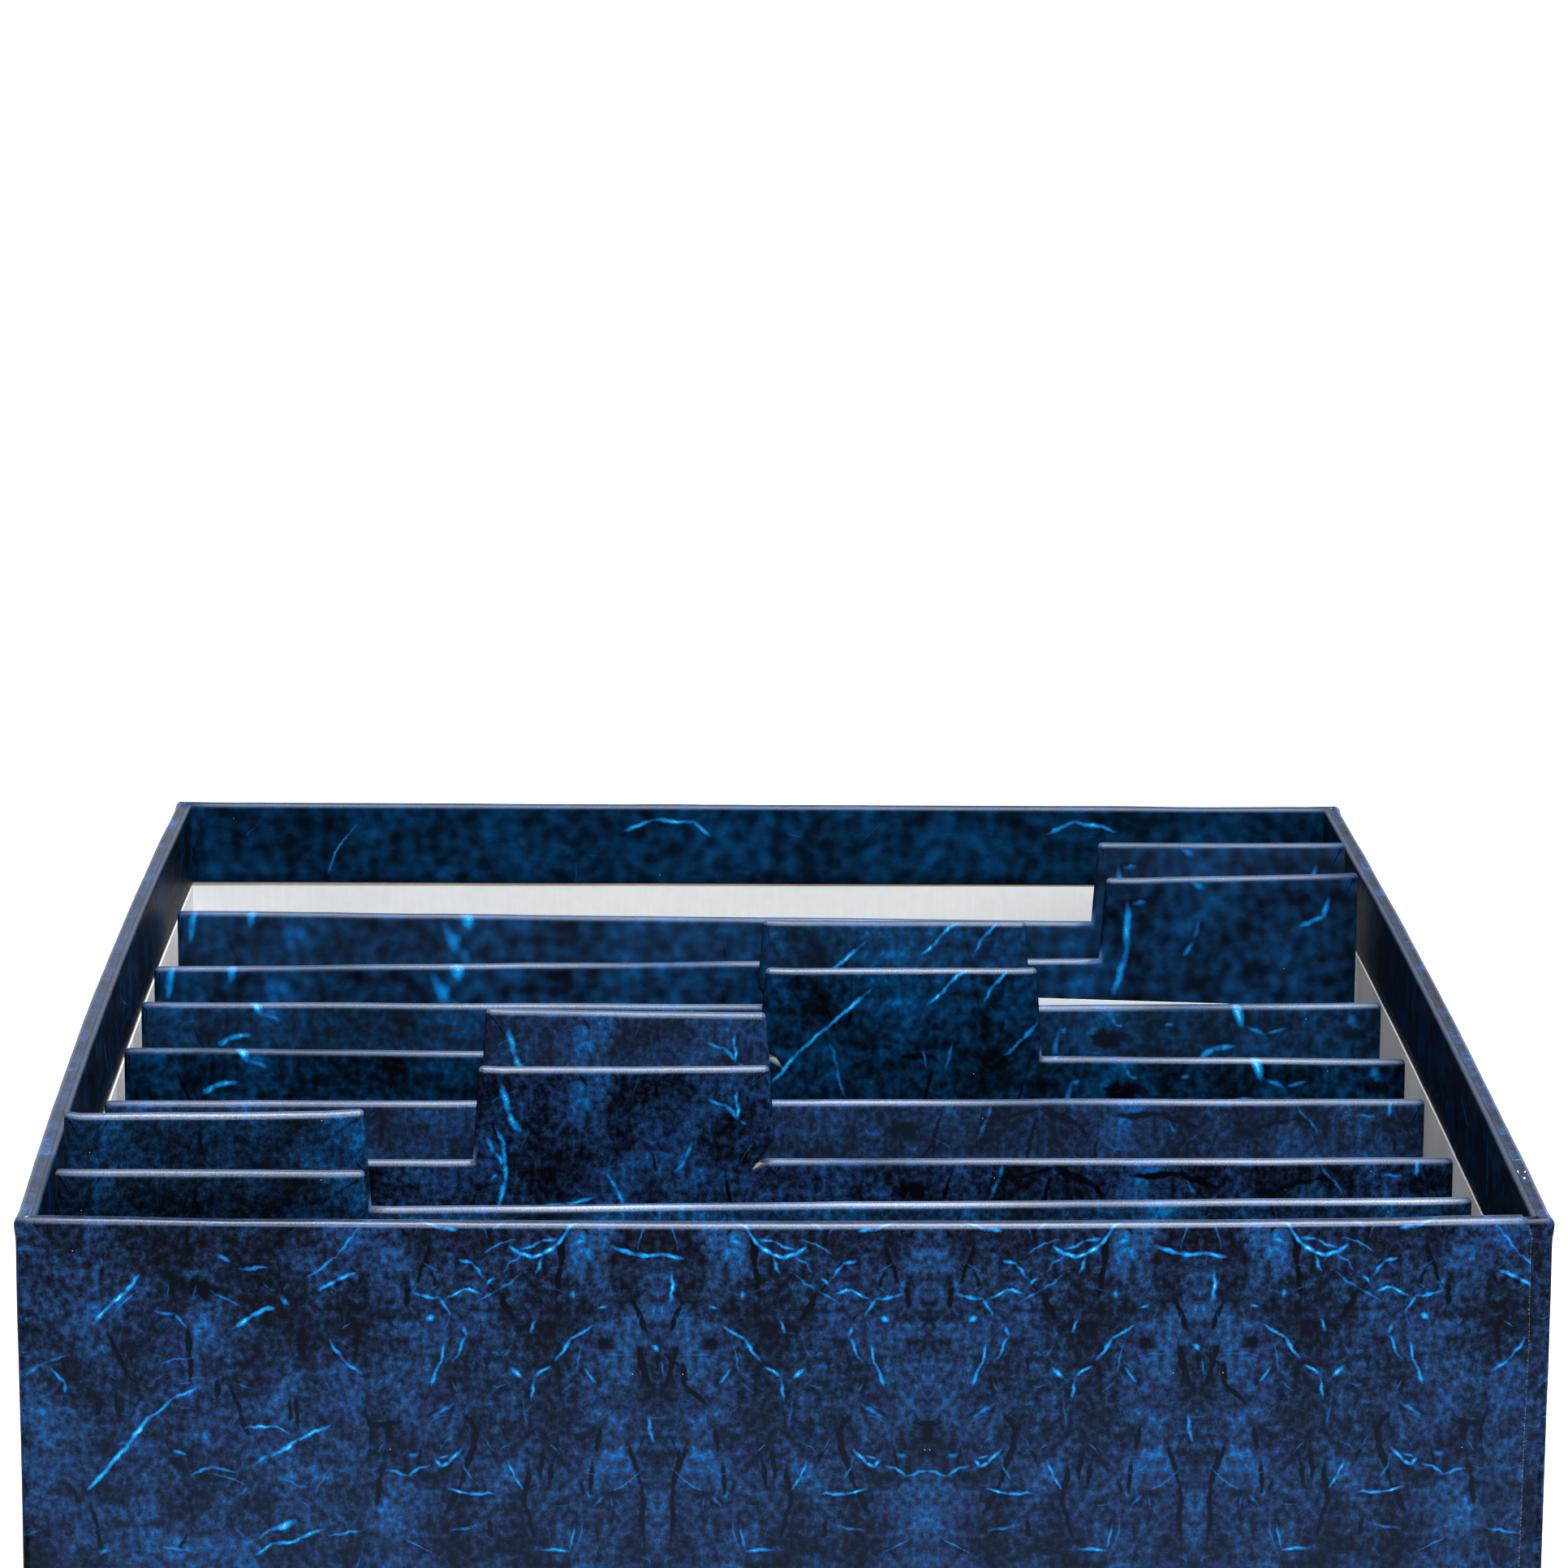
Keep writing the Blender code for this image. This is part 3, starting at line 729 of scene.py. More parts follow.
        shader = nodes.add("BsdfPrincipled", {}, Base_Color=colour, Roughness=rough, Normal=bump,
                           Specular_IOR_Level=gloss, Specular_Tint=COOL_GLOSS)
        return nodes.finish(shader.outputs[0])


def strokes(*rows: tuple[float, float, tuple[Point, ...]]) -> tuple[Stroke, ...]:
    """Return strokes from rows of width, strength and points, all lengths in millimetres."""
    return tuple(Stroke(points, width, strength) for width, strength, points in rows)


FRONT_STROKES = strokes(
    (0.42, 0.9, ((-78.5, 107.9), (-77.0, 109.9), (-75.0, 111.7), (-73.6, 113.5))),
    (0.46, 1.0, ((-79.5, 88.1), (-77.5, 90.5), (-75.1, 93.5), (-72.5, 96.7))),
    (0.36, 0.8, ((-72.5, 96.7), (-70.1, 98.8), (-67.2, 100.3))),
    (0.36, 0.6, ((-71.6, 109.2), (-69.5, 108.9), (-68.4, 107.6))),
    (0.30, 0.4, ((-68.1, 107.2), (-65.7, 107.1))),
    (0.50, 0.8, ((-62.6, 107.6), (-60.6, 109.0), (-58.4, 109.8))),
    (0.40, 0.6, ((-57.6, 110.8), (-56.6, 110.2))),
    (0.42, 0.8, ((-52.9, 112.1), (-51.0, 113.2), (-49.0, 114.0))),
    (0.32, 0.6, ((-54.3, 113.7), (-51.0, 116.1), (-48.1, 119.8), (-47.0, 121.4))),
    (0.40, 0.6, ((-62.2, 114.5), (-58.5, 114.8))),
    (0.44, 0.6, ((-64.5, 116.2), (-63.0, 115.2))),
    (0.34, 0.4, ((-66.0, 119.8), (-62.8, 120.2))),
    (0.40, 0.6, ((-51.9, 106.0), (-50.4, 103.8), (-48.4, 102.2))),
    (0.36, 0.4, ((-87.0, 101.5), (-84.5, 102.9), (-81.9, 103.8))),
    (0.32, 0.6, ((-83.9, 102.4), (-82.3, 100.8), (-82.2, 99.5))),
    (0.36, 0.8, ((-61.3, 95.5), (-58.4, 95.7), (-56.8, 94.9))),
    (0.30, 0.6, ((-61.0, 91.1), (-58.6, 92.3))),
    (0.44, 0.9, ((-58.5, 92.2), (-55.6, 94.1), (-52.6, 95.6))),
    (0.34, 0.6, ((-70.1, 92.7), (-68.1, 92.2))),
    (0.30, 0.6, ((-67.6, 89.8), (-65.4, 90.8), (-62.8, 90.2))),
    (0.40, 0.4, ((-62.5, 87.5), (-61.3, 88.7))),
    (0.75, 0.9, ((-59.0, 83.0), (-56.0, 84.4))),
    (0.40, 0.6, ((-60.4, 82.1), (-58.7, 83.3))),
    (0.36, 0.8, ((-60.7, 80.2), (-58.4, 81.5), (-55.4, 82.2), (-53.2, 83.3))),
    (0.36, 0.6, ((-52.5, 82.5), (-48.1, 83.4))),
    (0.40, 0.6, ((-78.9, 80.3), (-77.6, 80.9))),
    (0.34, 0.6, ((-71.6, 81.0), (-67.8, 80.7))),
    (0.40, 0.4, ((-86.9, 108.0), (-85.7, 108.6))),
    (0.45, 0.8, ((-31.4, 117.4), (-30.2, 116.6))),
    (0.30, 0.6, ((-31.8, 115.2), (-30.2, 116.2))),
    (0.50, 1.0, ((-30.4, 116.6), (-29.0, 116.2), (-27.5, 116.5), (-26.1, 117.7))),
    (0.34, 0.8, ((-26.1, 117.7), (-25.0, 119.1), (-23.7, 120.6))),
    (0.36, 0.6, ((-27.5, 116.4), (-28.4, 114.0))),
    (0.30, 0.6, ((-30.2, 117.0), (-28.0, 118.0), (-26.1, 118.4))),
    (0.36, 0.6, ((-37.1, 115.8), (-35.8, 115.3), (-34.6, 113.9))),
    (0.36, 0.6, ((-42.4, 111.8), (-39.4, 111.3), (-38.3, 109.4))),
    (0.34, 0.8, ((-38.4, 111.3), (-36.6, 112.3), (-34.9, 111.9))),
    (0.38, 0.6, ((-34.0, 112.8), (-33.0, 113.8))),
    (0.30, 0.4, ((-35.2, 110.7), (-32.7, 112.2), (-30.2, 114.0))),
    (0.55, 0.8, ((-40.9, 108.4), (-40.0, 108.9))),
    (0.34, 0.6, ((-36.7, 107.8), (-36.3, 106.6), (-37.8, 104.0))),
    (0.34, 0.8, ((-39.0, 105.3), (-39.5, 103.2), (-40.3, 101.0))),
    (0.34, 0.6, ((-28.6, 108.7), (-29.0, 107.0))),
    (0.42, 0.8, ((-31.2, 102.9), (-30.0, 101.6))),
    (0.40, 0.9, ((-28.6, 101.8), (-26.7, 103.1))),
    (0.34, 0.6, ((-28.6, 101.9), (-29.1, 98.8))),
    (0.36, 0.8, ((-26.1, 104.0), (-24.4, 106.2), (-22.2, 107.9))),
    (0.34, 0.6, ((-23.1, 103.2), (-21.7, 100.8))),
    (0.34, 0.6, ((-21.8, 110.0), (-20.2, 110.4))),
    (0.42, 0.6, ((-24.3, 117.9), (-22.8, 117.9))),
    (0.70, 0.6, ((-24.5, 111.5), (-23.8, 111.6))),
    (0.34, 0.6, ((-45.5, 90.4), (-43.1, 90.0), (-40.8, 91.1))),
    (0.40, 0.8, ((-40.1, 91.8), (-39.3, 91.0), (-38.4, 91.4), (-37.1, 92.9))),
    (0.32, 0.6, ((-39.9, 92.0), (-38.4, 92.3))),
    (0.34, 0.8, ((-38.4, 88.3), (-36.0, 87.7), (-33.3, 87.6))),
    (0.34, 0.8, ((-31.8, 91.4), (-31.0, 89.6), (-29.9, 88.3))),
    (0.36, 0.4, ((-38.7, 83.3), (-34.6, 84.0))),
    (0.36, 0.8, ((-27.8, 80.9), (-24.4, 80.6))),
    (0.34, 0.6, ((-24.2, 84.2), (-24.6, 80.7))),
    (0.34, 0.4, ((-22.0, 86.0), (-20.8, 87.5))),
    (0.60, 0.4, ((-43.4, 92.0), (-41.6, 92.6))),
    (0.50, 0.4, ((-40.8, 96.8), (-37.5, 98.9))),
    (0.40, 0.8, ((-41.5, 120.5), (-39.0, 119.5), (-37.5, 119.4))),
    (0.34, 0.6, ((-33.4, 119.5), (-31.7, 120.5))),
)
FRONT_LONE_STROKES = strokes(
    (0.46, 0.8, ((-19.3, 117.1), (-17.2, 116.5), (-14.2, 116.4), (-11.9, 116.2))),
    (0.44, 0.8, ((-13.2, 114.5), (-13.0, 110.6))),
    (0.50, 0.8, ((-15.5, 105.5), (-14.4, 105.1))),
    (0.34, 0.6, ((-15.6, 97.0), (-15.2, 95.4), (-15.0, 94.0))),
    (0.32, 0.4, ((-14.2, 104.2), (-14.0, 101.8))),
)
FRONT_CRACKS = strokes(
    (0.60, 1.0, ((-68.1, 106.8), (-67.7, 104.2), (-68.0, 101.0))),
    (0.50, 0.9, ((-63.2, 100.5), (-62.3, 97.2), (-61.3, 94.6))),
    (0.50, 0.9, ((-64.5, 101.8), (-65.0, 98.5))),
    (0.45, 0.9, ((-55.9, 98.9), (-55.6, 95.6))),
    (1.20, 0.7, ((-55.4, 108.2), (-55.0, 103.5))),
    (0.60, 0.7, ((-76.3, 99.9), (-75.9, 95.8))),
    (2.60, 0.6, ((-70.6, 112.9), (-63.0, 111.3))),
    (1.60, 0.7, ((-70.2, 92.0), (-68.6, 90.4))),
    (0.60, 1.0, ((-25.4, 118.9), (-25.6, 115.0), (-26.2, 111.2))),
    (0.60, 1.0, ((-17.4, 110.9), (-15.8, 107.0))),
    (0.60, 1.0, ((-17.0, 105.9), (-15.4, 100.3))),
    (0.60, 1.0, ((-35.1, 95.8), (-36.9, 89.3), (-38.7, 85.3))),
    (0.50, 0.9, ((-36.9, 97.4), (-34.9, 95.0))),
    (0.50, 1.0, ((-29.2, 90.9), (-29.9, 86.6), (-28.8, 82.9))),
    (0.50, 1.0, ((-27.6, 93.2), (-28.1, 89.2))),
    (0.50, 1.0, ((-26.4, 92.4), (-27.1, 88.0))),
    (0.50, 0.9, ((-22.0, 92.1), (-22.3, 87.1))),
    (0.50, 0.9, ((-21.0, 96.3), (-21.7, 92.5))),
    (0.50, 0.9, ((-17.8, 93.3), (-16.4, 88.6), (-16.3, 82.3))),
    (0.50, 0.9, ((-34.0, 84.6), (-33.4, 82.3))),
    (0.60, 0.9, ((-47.9, 95.8), (-44.0, 96.2))),
    (0.50, 0.9, ((-45.6, 96.3), (-45.2, 93.7))),
    (0.60, 0.9, ((-46.3, 90.5), (-46.8, 85.6))),
    (0.60, 0.9, ((-33.0, 112.0), (-30.8, 108.4))),
    (0.70, 0.7, ((-43.2, 114.0), (-42.8, 109.0))),
    (1.60, 0.7, ((-21.5, 105.6), (-19.6, 106.0))),
)
FRONT_LONE_CRACKS = strokes(
    (0.55, 1.0, ((-17.9, 111.9), (-15.5, 106.8))),
    (0.55, 1.0, ((-17.2, 104.8), (-15.3, 100.1))),
    (0.45, 0.9, ((-14.0, 104.9), (-11.7, 103.0))),
    (0.55, 1.0, ((-11.6, 103.2), (-11.4, 100.9), (-9.3, 98.6))),
    (0.50, 0.9, ((-12.0, 93.9), (-13.0, 86.9))),
)
SECOND_PAIR_CRACKS = strokes(
    (0.35, 0.8, ((26.6, 107.0), (30.0, 107.0), (34.5, 108.2))),
    (0.90, 1.0, ((34.8, 108.5), (37.0, 107.3), (39.4, 106.1))),
    (0.60, 0.9, ((39.4, 106.1), (41.2, 104.8))),
    (2.20, 0.8, ((15.0, 105.2), (20.0, 105.6))),
    (0.70, 1.0, ((44.9, 107.3), (50.2, 107.6), (54.8, 105.8))),
    (0.50, 0.9, ((62.6, 105.8), (66.9, 106.9), (69.7, 106.5))),
)
RIM_SCUFFS = strokes(
    (0.55, 1.0, ((-686.2, 121.5), (-684.4, 121.5))),
    (0.24, 1.0, ((-685.8, 120.3), (-684.8, 120.3))),
    (0.28, 1.0, ((-688.0, 120.8), (-687.2, 120.8))),
    (0.18, 1.0, ((-683.9, 122.3), (-683.5, 122.3))),
)
RIM_STROKES = strokes(
    (0.30, 0.9, ((-682.9, 122.3), (-681.0, 121.9), (-679.8, 121.3), (-680.0, 120.0))),
    (0.30, 0.6, ((-700.2, 120.2), (-704.6, 120.1))),
    (0.26, 0.6, ((-668.0, 120.4), (-668.4, 122.0))),
    (0.26, 0.6, ((-640.0, 120.2), (-641.5, 121.8))),
)
COVER_STROKES = strokes(
    (0.40, 0.8, ((-376.1, 125.5), (-380.3, 123.8), (-386.4, 124.1), (-388.7, 126.0))),
    (0.40, 0.8, ((-440.2, 125.5), (-443.9, 123.7), (-449.4, 125.0))),
)
SECOND_PAIR_STROKES = strokes(
    (0.45, 0.9, ((-4.2, 117.8), (-4.3, 116.4), (-3.8, 114.8))),
    (0.40, 0.8, ((-7.5, 116.9), (-5.5, 116.2), (-4.0, 114.8))),
    (0.32, 0.4, ((-3.5, 114.6), (-2.9, 113.7))),
    (0.75, 0.9, ((-32.6, 118.3), (-32.0, 115.4), (-30.7, 113.1))),
    (0.45, 0.8, ((-34.6, 112.2), (-33.6, 110.4), (-32.4, 108.9))),
    (0.45, 0.8, ((-33.2, 113.0), (-32.7, 111.0), (-32.3, 108.9))),
    (0.50, 0.9, ((-32.3, 109.1), (-32.6, 106.6), (-33.3, 103.3))),
    (0.34, 0.6, ((-34.4, 106.9), (-33.4, 107.9))),
    (0.44, 0.8, ((-19.9, 107.4), (-18.9, 105.8), (-18.0, 103.6))),
    (0.44, 0.6, ((-9.5, 111.4), (-10.2, 109.6), (-11.5, 108.1))),
    (0.40, 0.8, ((-28.9, 103.5), (-25.0, 103.8), (-21.8, 104.6))),
    (0.45, 0.8, ((79.4, 109.6), (79.6, 106.8))),
    (0.36, 0.6, ((75.0, 107.3), (77.6, 107.4))),
    (0.50, 0.4, ((28.5, 108.9), (28.1, 107.0), (27.1, 104.7))),
    (0.40, 0.4, ((50.9, 107.1), (52.4, 104.9))),
    (0.40, 0.4, ((67.6, 108.5), (68.9, 107.0), (70.5, 104.9))),
)
THIRD_PAIR_STROKES = strokes(
    (0.42, 0.9, ((1.5, 106.0), (4.7, 109.9), (8.4, 113.2), (13.6, 117.9))),
    (0.42, 0.9, ((21.6, 116.4), (23.8, 118.7), (26.5, 121.2))),
    (0.40, 0.7, ((28.8, 117.2), (30.0, 119.0), (31.7, 121.2))),
    (0.42, 0.7, ((31.8, 109.8), (33.8, 111.8), (35.8, 113.8))),
    (0.40, 0.4, ((8.6, 111.0), (9.5, 107.8), (10.6, 103.9))),
    (0.36, 0.4, ((23.8, 107.9), (24.3, 109.5), (24.8, 111.2))),
    (0.36, 0.4, ((20.8, 110.6), (21.2, 107.5))),
    (0.60, 0.5, ((38.1, 109.4), (38.6, 111.3), (38.4, 112.4))),
    (1.10, 1.0, ((-68.9, 110.9), (-67.6, 107.8))),
    (0.50, 0.5, ((-67.8, 108.2), (-65.1, 106.9))),
    (0.60, 0.9, ((-73.6, 103.6), (-72.0, 104.6), (-69.3, 105.0))),
    (1.00, 1.0, ((64.0, 110.9), (65.2, 106.5))),
    (0.50, 0.5, ((65.4, 106.8), (68.3, 105.4), (70.8, 106.3))),
    (0.60, 0.9, ((59.7, 102.2), (61.2, 103.6), (64.2, 103.9))),
    (0.44, 0.5, ((47.4, 108.0), (47.8, 106.8), (48.7, 106.6))),
    (0.60, 0.5, ((54.6, 106.9), (55.9, 106.7))),
    (0.60, 0.5, ((39.6, 102.5), (40.3, 105.9), (41.4, 106.2))),
    (1.60, 0.4, ((79.4, 107.0), (81.1, 107.7))),
)
THIRD_PAIR_CRACKS = strokes(
    (1.80, 1.0, ((44.2, 105.1), (49.6, 104.6))),
    (0.90, 0.7, ((17.0, 109.4), (23.0, 109.0))),
    (1.20, 0.6, ((-50.0, 107.4), (-46.0, 106.2))),
)
FOURTH_PAIR_STROKES = strokes(
    (0.60, 0.7, ((51.5, 118.0), (51.7, 109.4))),
    (0.66, 0.6, ((52.0, 112.0), (49.4, 103.0))),
    (0.50, 0.5, ((52.2, 117.4), (54.5, 117.5))),
    (0.60, 0.5, ((60.1, 120.3), (62.8, 119.4))),
    (0.50, 0.5, ((61.7, 114.5), (60.9, 112.0), (59.5, 109.7))),
    (0.50, 0.7, ((79.7, 117.8), (79.3, 115.2), (76.3, 114.2))),
    (1.10, 0.9, ((-42.5, 110.8), (-41.6, 107.0))),
    (1.30, 0.5, ((-45.8, 108.4), (-41.4, 101.4))),
    (0.70, 0.7, ((-81.2, 111.2), (-82.2, 104.6))),
    (0.80, 0.9, ((-73.0, 110.8), (-73.5, 107.2))),
    (2.40, 0.4, ((-66.9, 108.3), (-66.9, 103.4))),
)


@dataclass(frozen=True)
class PlainPaper:
    """Uncoated white or kraft paper, or board, with faint laid lines and soft blotches."""

    name: str
    colour: Colour
    shade: Colour
    line: float = 0.00045
    roughness: float = 0.85
    laid_share: float = 0.20
    fibre_share: float = 0.30
    soft_share: float = 0.35
    soft_size: float = 0.02
    emboss_depth: float = 0.0001

    def make(self) -> bpy.types.Material:
        """Build the material.

        Returns:
            The finished paper.
        """
        nodes = Nodes(self.name)
        place = nodes.coordinates(Coordinates.OBJECT)
        laid = nodes.noise(place, self.line, 2.0, 0.5, (1.0, 1.0, 0.07), "3D")
        fibres = nodes.noise(place, self.line * 3, 4.0, 0.65, dimensions="3D")
        soft = nodes.noise(place, self.soft_size, 2.0, 0.5, dimensions="3D")
        tone = nodes.math("MULTIPLY", laid, self.laid_share)
        tone = nodes.math("ADD", tone, nodes.math("MULTIPLY", fibres, self.fibre_share))
        tone = nodes.math("ADD", tone, nodes.math("MULTIPLY", soft, self.soft_share))
        colour = nodes.mix(nodes.ramp(tone, 0.22, 0.64), self.shade, self.colour)
        bump = nodes.add("Bump", {}, Strength=0.18, Distance=self.emboss_depth, Height=tone).outputs[0]
        shader = nodes.add("BsdfPrincipled", {}, Base_Color=colour, Roughness=self.roughness, Normal=bump)
        return nodes.finish(shader.outputs[0])


@dataclass(frozen=True)
class Papers:
    """The finishes of the box, each made once."""

    cover: bpy.types.Material
    front_cover: bpy.types.Material
    back_turn_in: bpy.types.Material
    side_turn_in: bpy.types.Material
    dividers: tuple[bpy.types.Material, ...]
    underside: bpy.types.Material
    core: bpy.types.Material
    lining: bpy.types.Material
    board: bpy.types.Material
    stay: bpy.types.Material


def shade_smooth(mesh: bpy.types.Mesh) -> None:
    """Shade a mesh smoothly all over."""
    mesh.polygons.foreach_set("use_smooth", [True] * len(mesh.polygons))


def publish(name: str, bm: bmesh.types.BMesh, materials: tuple[bpy.types.Material, ...]) -> bpy.types.Object:
    """Turn a bmesh into a scene object at the origin.

    Args:
        name: the object's name.
        bm: its shape, which is freed.
        materials: its material slots.

    Returns:
        The object.
    """
    mesh = bpy.data.meshes.new(name)
    bm.to_mesh(mesh)
    bm.free()
    for material in materials:
        mesh.materials.append(material)
    item = bpy.data.objects.new(name, mesh)
    bpy.context.scene.collection.objects.link(item)
    return item


def score(bm: bmesh.types.BMesh, axis: int, places: list[float]) -> None:
    """Cut a flat or solid shape along planes across one axis, without removing anything.

    Args:
        bm: the shape.
        axis: 0, 1 or 2, the axis that the planes stand across.
        places: where each plane lies on that axis.
    """
    normal = Vector((0, 0, 0))
    normal[axis] = 1.0
    for place in places:
        geometry = bm.verts[:] + bm.edges[:] + bm.faces[:]
        bmesh.ops.bisect_plane(bm, geom=geometry, dist=ON_PLANE, plane_co=normal * place, plane_no=normal)


def thicken(item: bpy.types.Object, thickness: float) -> None:
    """Give a sheet its thickness, inwards, with the paper's white core on its cut edges."""
    solid = item.modifiers.new("paper", "SOLIDIFY")
    solid.thickness = thickness
    solid.offset = -1.0
    solid.use_even_offset = False
    solid.material_offset_rim = len(item.data.materials)


@dataclass(frozen=True)
class Ripple:
    """A gentle unevenness of handmade paper: how dense its waves are on three axes, and their size."""

    waves: Triple
    size: float

    def at(self, first: float, second: float, third: float) -> float:
        """Return how strong it is at one place."""
        place = (first * self.waves[0], second * self.waves[1], third * self.waves[2])
        return noise.noise(Vector(place)) * self.size


COVER_RIPPLES = (Ripple((55, 40, 3.0), 0.00010), Ripple((210, 160, 9.0), 0.00004))
DIVIDER_RIPPLES = (Ripple((60, 5.0, 30), 0.00010), Ripple((320, 7.0, 90), 0.00004))
# how the strength of the painted highlight on the divider folds wanders along an edge
HIGHLIGHT_RIPPLE = Ripple((42, 3.7, 9), 0.8)

# Into how many parts the cover's strip is scored: its flap, each corner, wall and the lap along it
FLAP_PARTS = 6
CORNER_PARTS = 6
SIDE_PARTS = 56
END_PARTS = 44
LAP_PARTS = 22

# And across it: the base fold and the wall, the rim from fold to fold, and the turn-in
WALL_PARTS = (5, 8, 14, 6)
RIM_PARTS = (8, 6, 8)
TURN_IN_PARTS = 6


@dataclass
class CoverWrap:
    """The printed strip that is wrapped round the walls, turned in at rim and base, and lapped."""

    half_width: float = 0.0875
    half_length: float = 0.111
    height: float = 0.120
    wall: float = 0.00235
    fold: float = 0.0009
    rim_fold: float = 0.0007
    foot: float = 0.0007
    paper: float = 0.00025
    rim_turn_in: float = 0.0118
    base_turn_in: float = 0.014
    flap: float = 0.009
    flap_from_corner: float = 0.0026
    flap_sink: float = 0.00015
    lap_rise: float = 0.00013
    lap_ramp: float = 0.0060
    lap_shift_reach: float = 0.004
    cut_reach: float = 0.00012
    cut_fade: float = 0.0001
    cut_wear: float = 0.46
    ear: float = 0.00022
    ear_reach: float = 0.0022
    rim_dip: float = 0.00008
    # How much extra gloss and painted highlight the rims get: the front's folds the most, and the right rim's
    # top less than the left one's, as painted shade
    rim_highlight: float = 0.08
    right_rim_highlight: float = 0.015
    side_highlight: float = 0.17
    back_highlight: float = 0.30
    front_highlight: float = 0.80
    highlight_from: float = 0.10
    highlight_rise: float = 0.45
    highlight_until: float = 0.75
    highlight_fall: float = 0.25
    highlight_fade: float = 0.0003
    highlight_taper: float = 0.008
    back_rise: float = 0.00016
    back_tilt: float = 0.00025
    left_belly: float = 0.0013
    right_belly: float = 0.0008
    front_belly: float = 0.0022
    belly_foot: float = 0.00265
    ripple_from: float = 0.060
    ripple_fade: float = 0.05
    foot_scores: tuple[float, ...] = (0.005, 0.010)
    finer_from: float = 0.080
    finest_reach: float = 0.004
    lap_cut: tuple[Point, ...] = ((0.0, 0.0028), (0.0800, 0.0027), (0.0950, 0.00262), (0.1050, 0.00243),
                                  (0.1160, 0.0026), (0.1172, 0.0026), (0.1178, 0.00243), (0.1195, 0.0029),
                                  (0.1206, 0.0033), (0.1216, 0.0036), (0.1337, 0.0037))

    def __post_init__(self) -> None:
        """Work out how long each stretch of the strip is."""
        self.bend = self.fold * math.pi / 2
        self.rim_bend = self.rim_fold * math.pi / 2
        self.side_run = 2 * (self.half_length - self.fold)
        self.end_run = 2 * (self.half_width - self.fold)
        self.rim_fold_start = self.height - self.rim_fold
        self.top_run = self.wall - 2 * self.rim_fold
        self.inner_fold_start = self.rim_fold_start + self.rim_bend + self.top_run
        self.inner_fold_end = self.inner_fold_start + self.rim_bend
        self.strip_top = self.inner_fold_end + self.rim_turn_in - self.rim_fold
        self.base_fold_end = self.foot + self.fold
        self.strip_foot = self.base_fold_end - self.bend - (self.base_turn_in - self.fold)
        self.front_start = -(self.half_width - self.fold)
        self.lap_end = self.half_width - self.flap_from_corner
        self.lap_start = self.lap_end - self.flap - self.lap_ramp
        left_start = self.front_start - self.bend - self.side_run
        back_start = left_start - self.bend - self.end_run
        right_start = back_start - self.bend - self.side_run
        self.starts = (right_start, back_start, left_start, self.front_start)
        self.flap_start = right_start - self.bend - (self.flap + self.flap_from_corner - self.fold)

    def across(self, run: float) -> tuple[float, float, float, float]:
        """Follow the strip round the box.

        Args:
            run: the place along the strip; on the front wall it is the same as x.

        Returns:
            Where the outer face lies in plan, and its outward direction.
        """
        width = self.half_width - self.fold
        length = self.half_length - self.fold
        corners = ((width, -length), (width, length), (-width, length), (-width, -length))
        walls = ((1, 0), (0, 1), (-1, 0), (0, -1))
        runs = (self.side_run, self.end_run, self.side_run, self.end_run)
        for index in (3, 2, 1, 0):
            start = self.starts[index]
            corner = corners[index]
            normal = walls[index]
            if run >= start - 1e-9:
                along = min(run - start, runs[index])
                direction = (-normal[1], normal[0])
                return (corner[0] + direction[0] * along + normal[0] * self.fold,
                        corner[1] + direction[1] * along + normal[1] * self.fold, *normal)
            if run > start - self.bend:
                angle = math.radians(90 * index) - (start - run) / self.fold
                turned = (math.cos(angle), math.sin(angle))
                return (corner[0] + turned[0] * self.fold, corner[1] + turned[1] * self.fold, *turned)
        along = self.starts[0] - self.bend - run
        return width - along, -self.half_length, 0.0, -1.0

    def upward(self, rise: float) -> tuple[float, float, float, float]:
        """Follow the strip from under the base up the wall, over the rim and down inside.

        Args:
            rise: the place across the strip; on the wall it is the same as the height.

        Returns:
            The depth behind the wall's face, the height, and how depth and height change outwards.
        """
        if rise < self.base_fold_end - self.bend:
            return self.fold + self.base_fold_end - self.bend - rise, self.foot, 0.0, -1.0
        if rise < self.base_fold_end:
            angle = (self.base_fold_end - rise) / self.fold
            return (self.fold * (1 - math.cos(angle)), self.base_fold_end - self.fold * math.sin(angle),
                    -math.cos(angle), -math.sin(angle))
        if rise <= self.rim_fold_start:
            return 0.0, rise, -1.0, 0.0
        fold = self.rim_fold
        if rise < self.rim_fold_start + self.rim_bend:
            angle = (rise - self.rim_fold_start) / fold
            return (fold * (1 - math.cos(angle)), self.rim_fold_start + fold * math.sin(angle),
                    -math.cos(angle), math.sin(angle))
        if rise <= self.inner_fold_start:
            over = rise - self.rim_fold_start - self.rim_bend
            dip = self.rim_dip * math.sin(math.pi * over / self.top_run)
            return fold + over, self.height - dip, 0.0, 1.0
        if rise < self.inner_fold_end:
            angle = (rise - self.inner_fold_start) / fold
            return (self.wall - fold * (1 - math.sin(angle)), self.rim_fold_start + fold * math.cos(angle),
                    math.sin(angle), math.cos(angle))
        return self.wall, self.rim_fold_start - (rise - self.inner_fold_end), 1.0, 0.0

    def cut(self, rise: float) -> float:
        """Return how far from the corner the lap is cut off, at one place across the strip."""
        marks = sorted(self.lap_cut)
        if rise <= marks[0][0]:
            return marks[0][1]
        for low, high in zip(marks, marks[1:]):
            if rise <= high[0]:
                share = (rise - low[0]) / (high[0] - low[0])
                return low[1] + (high[1] - low[1]) * share
        return marks[-1][1]

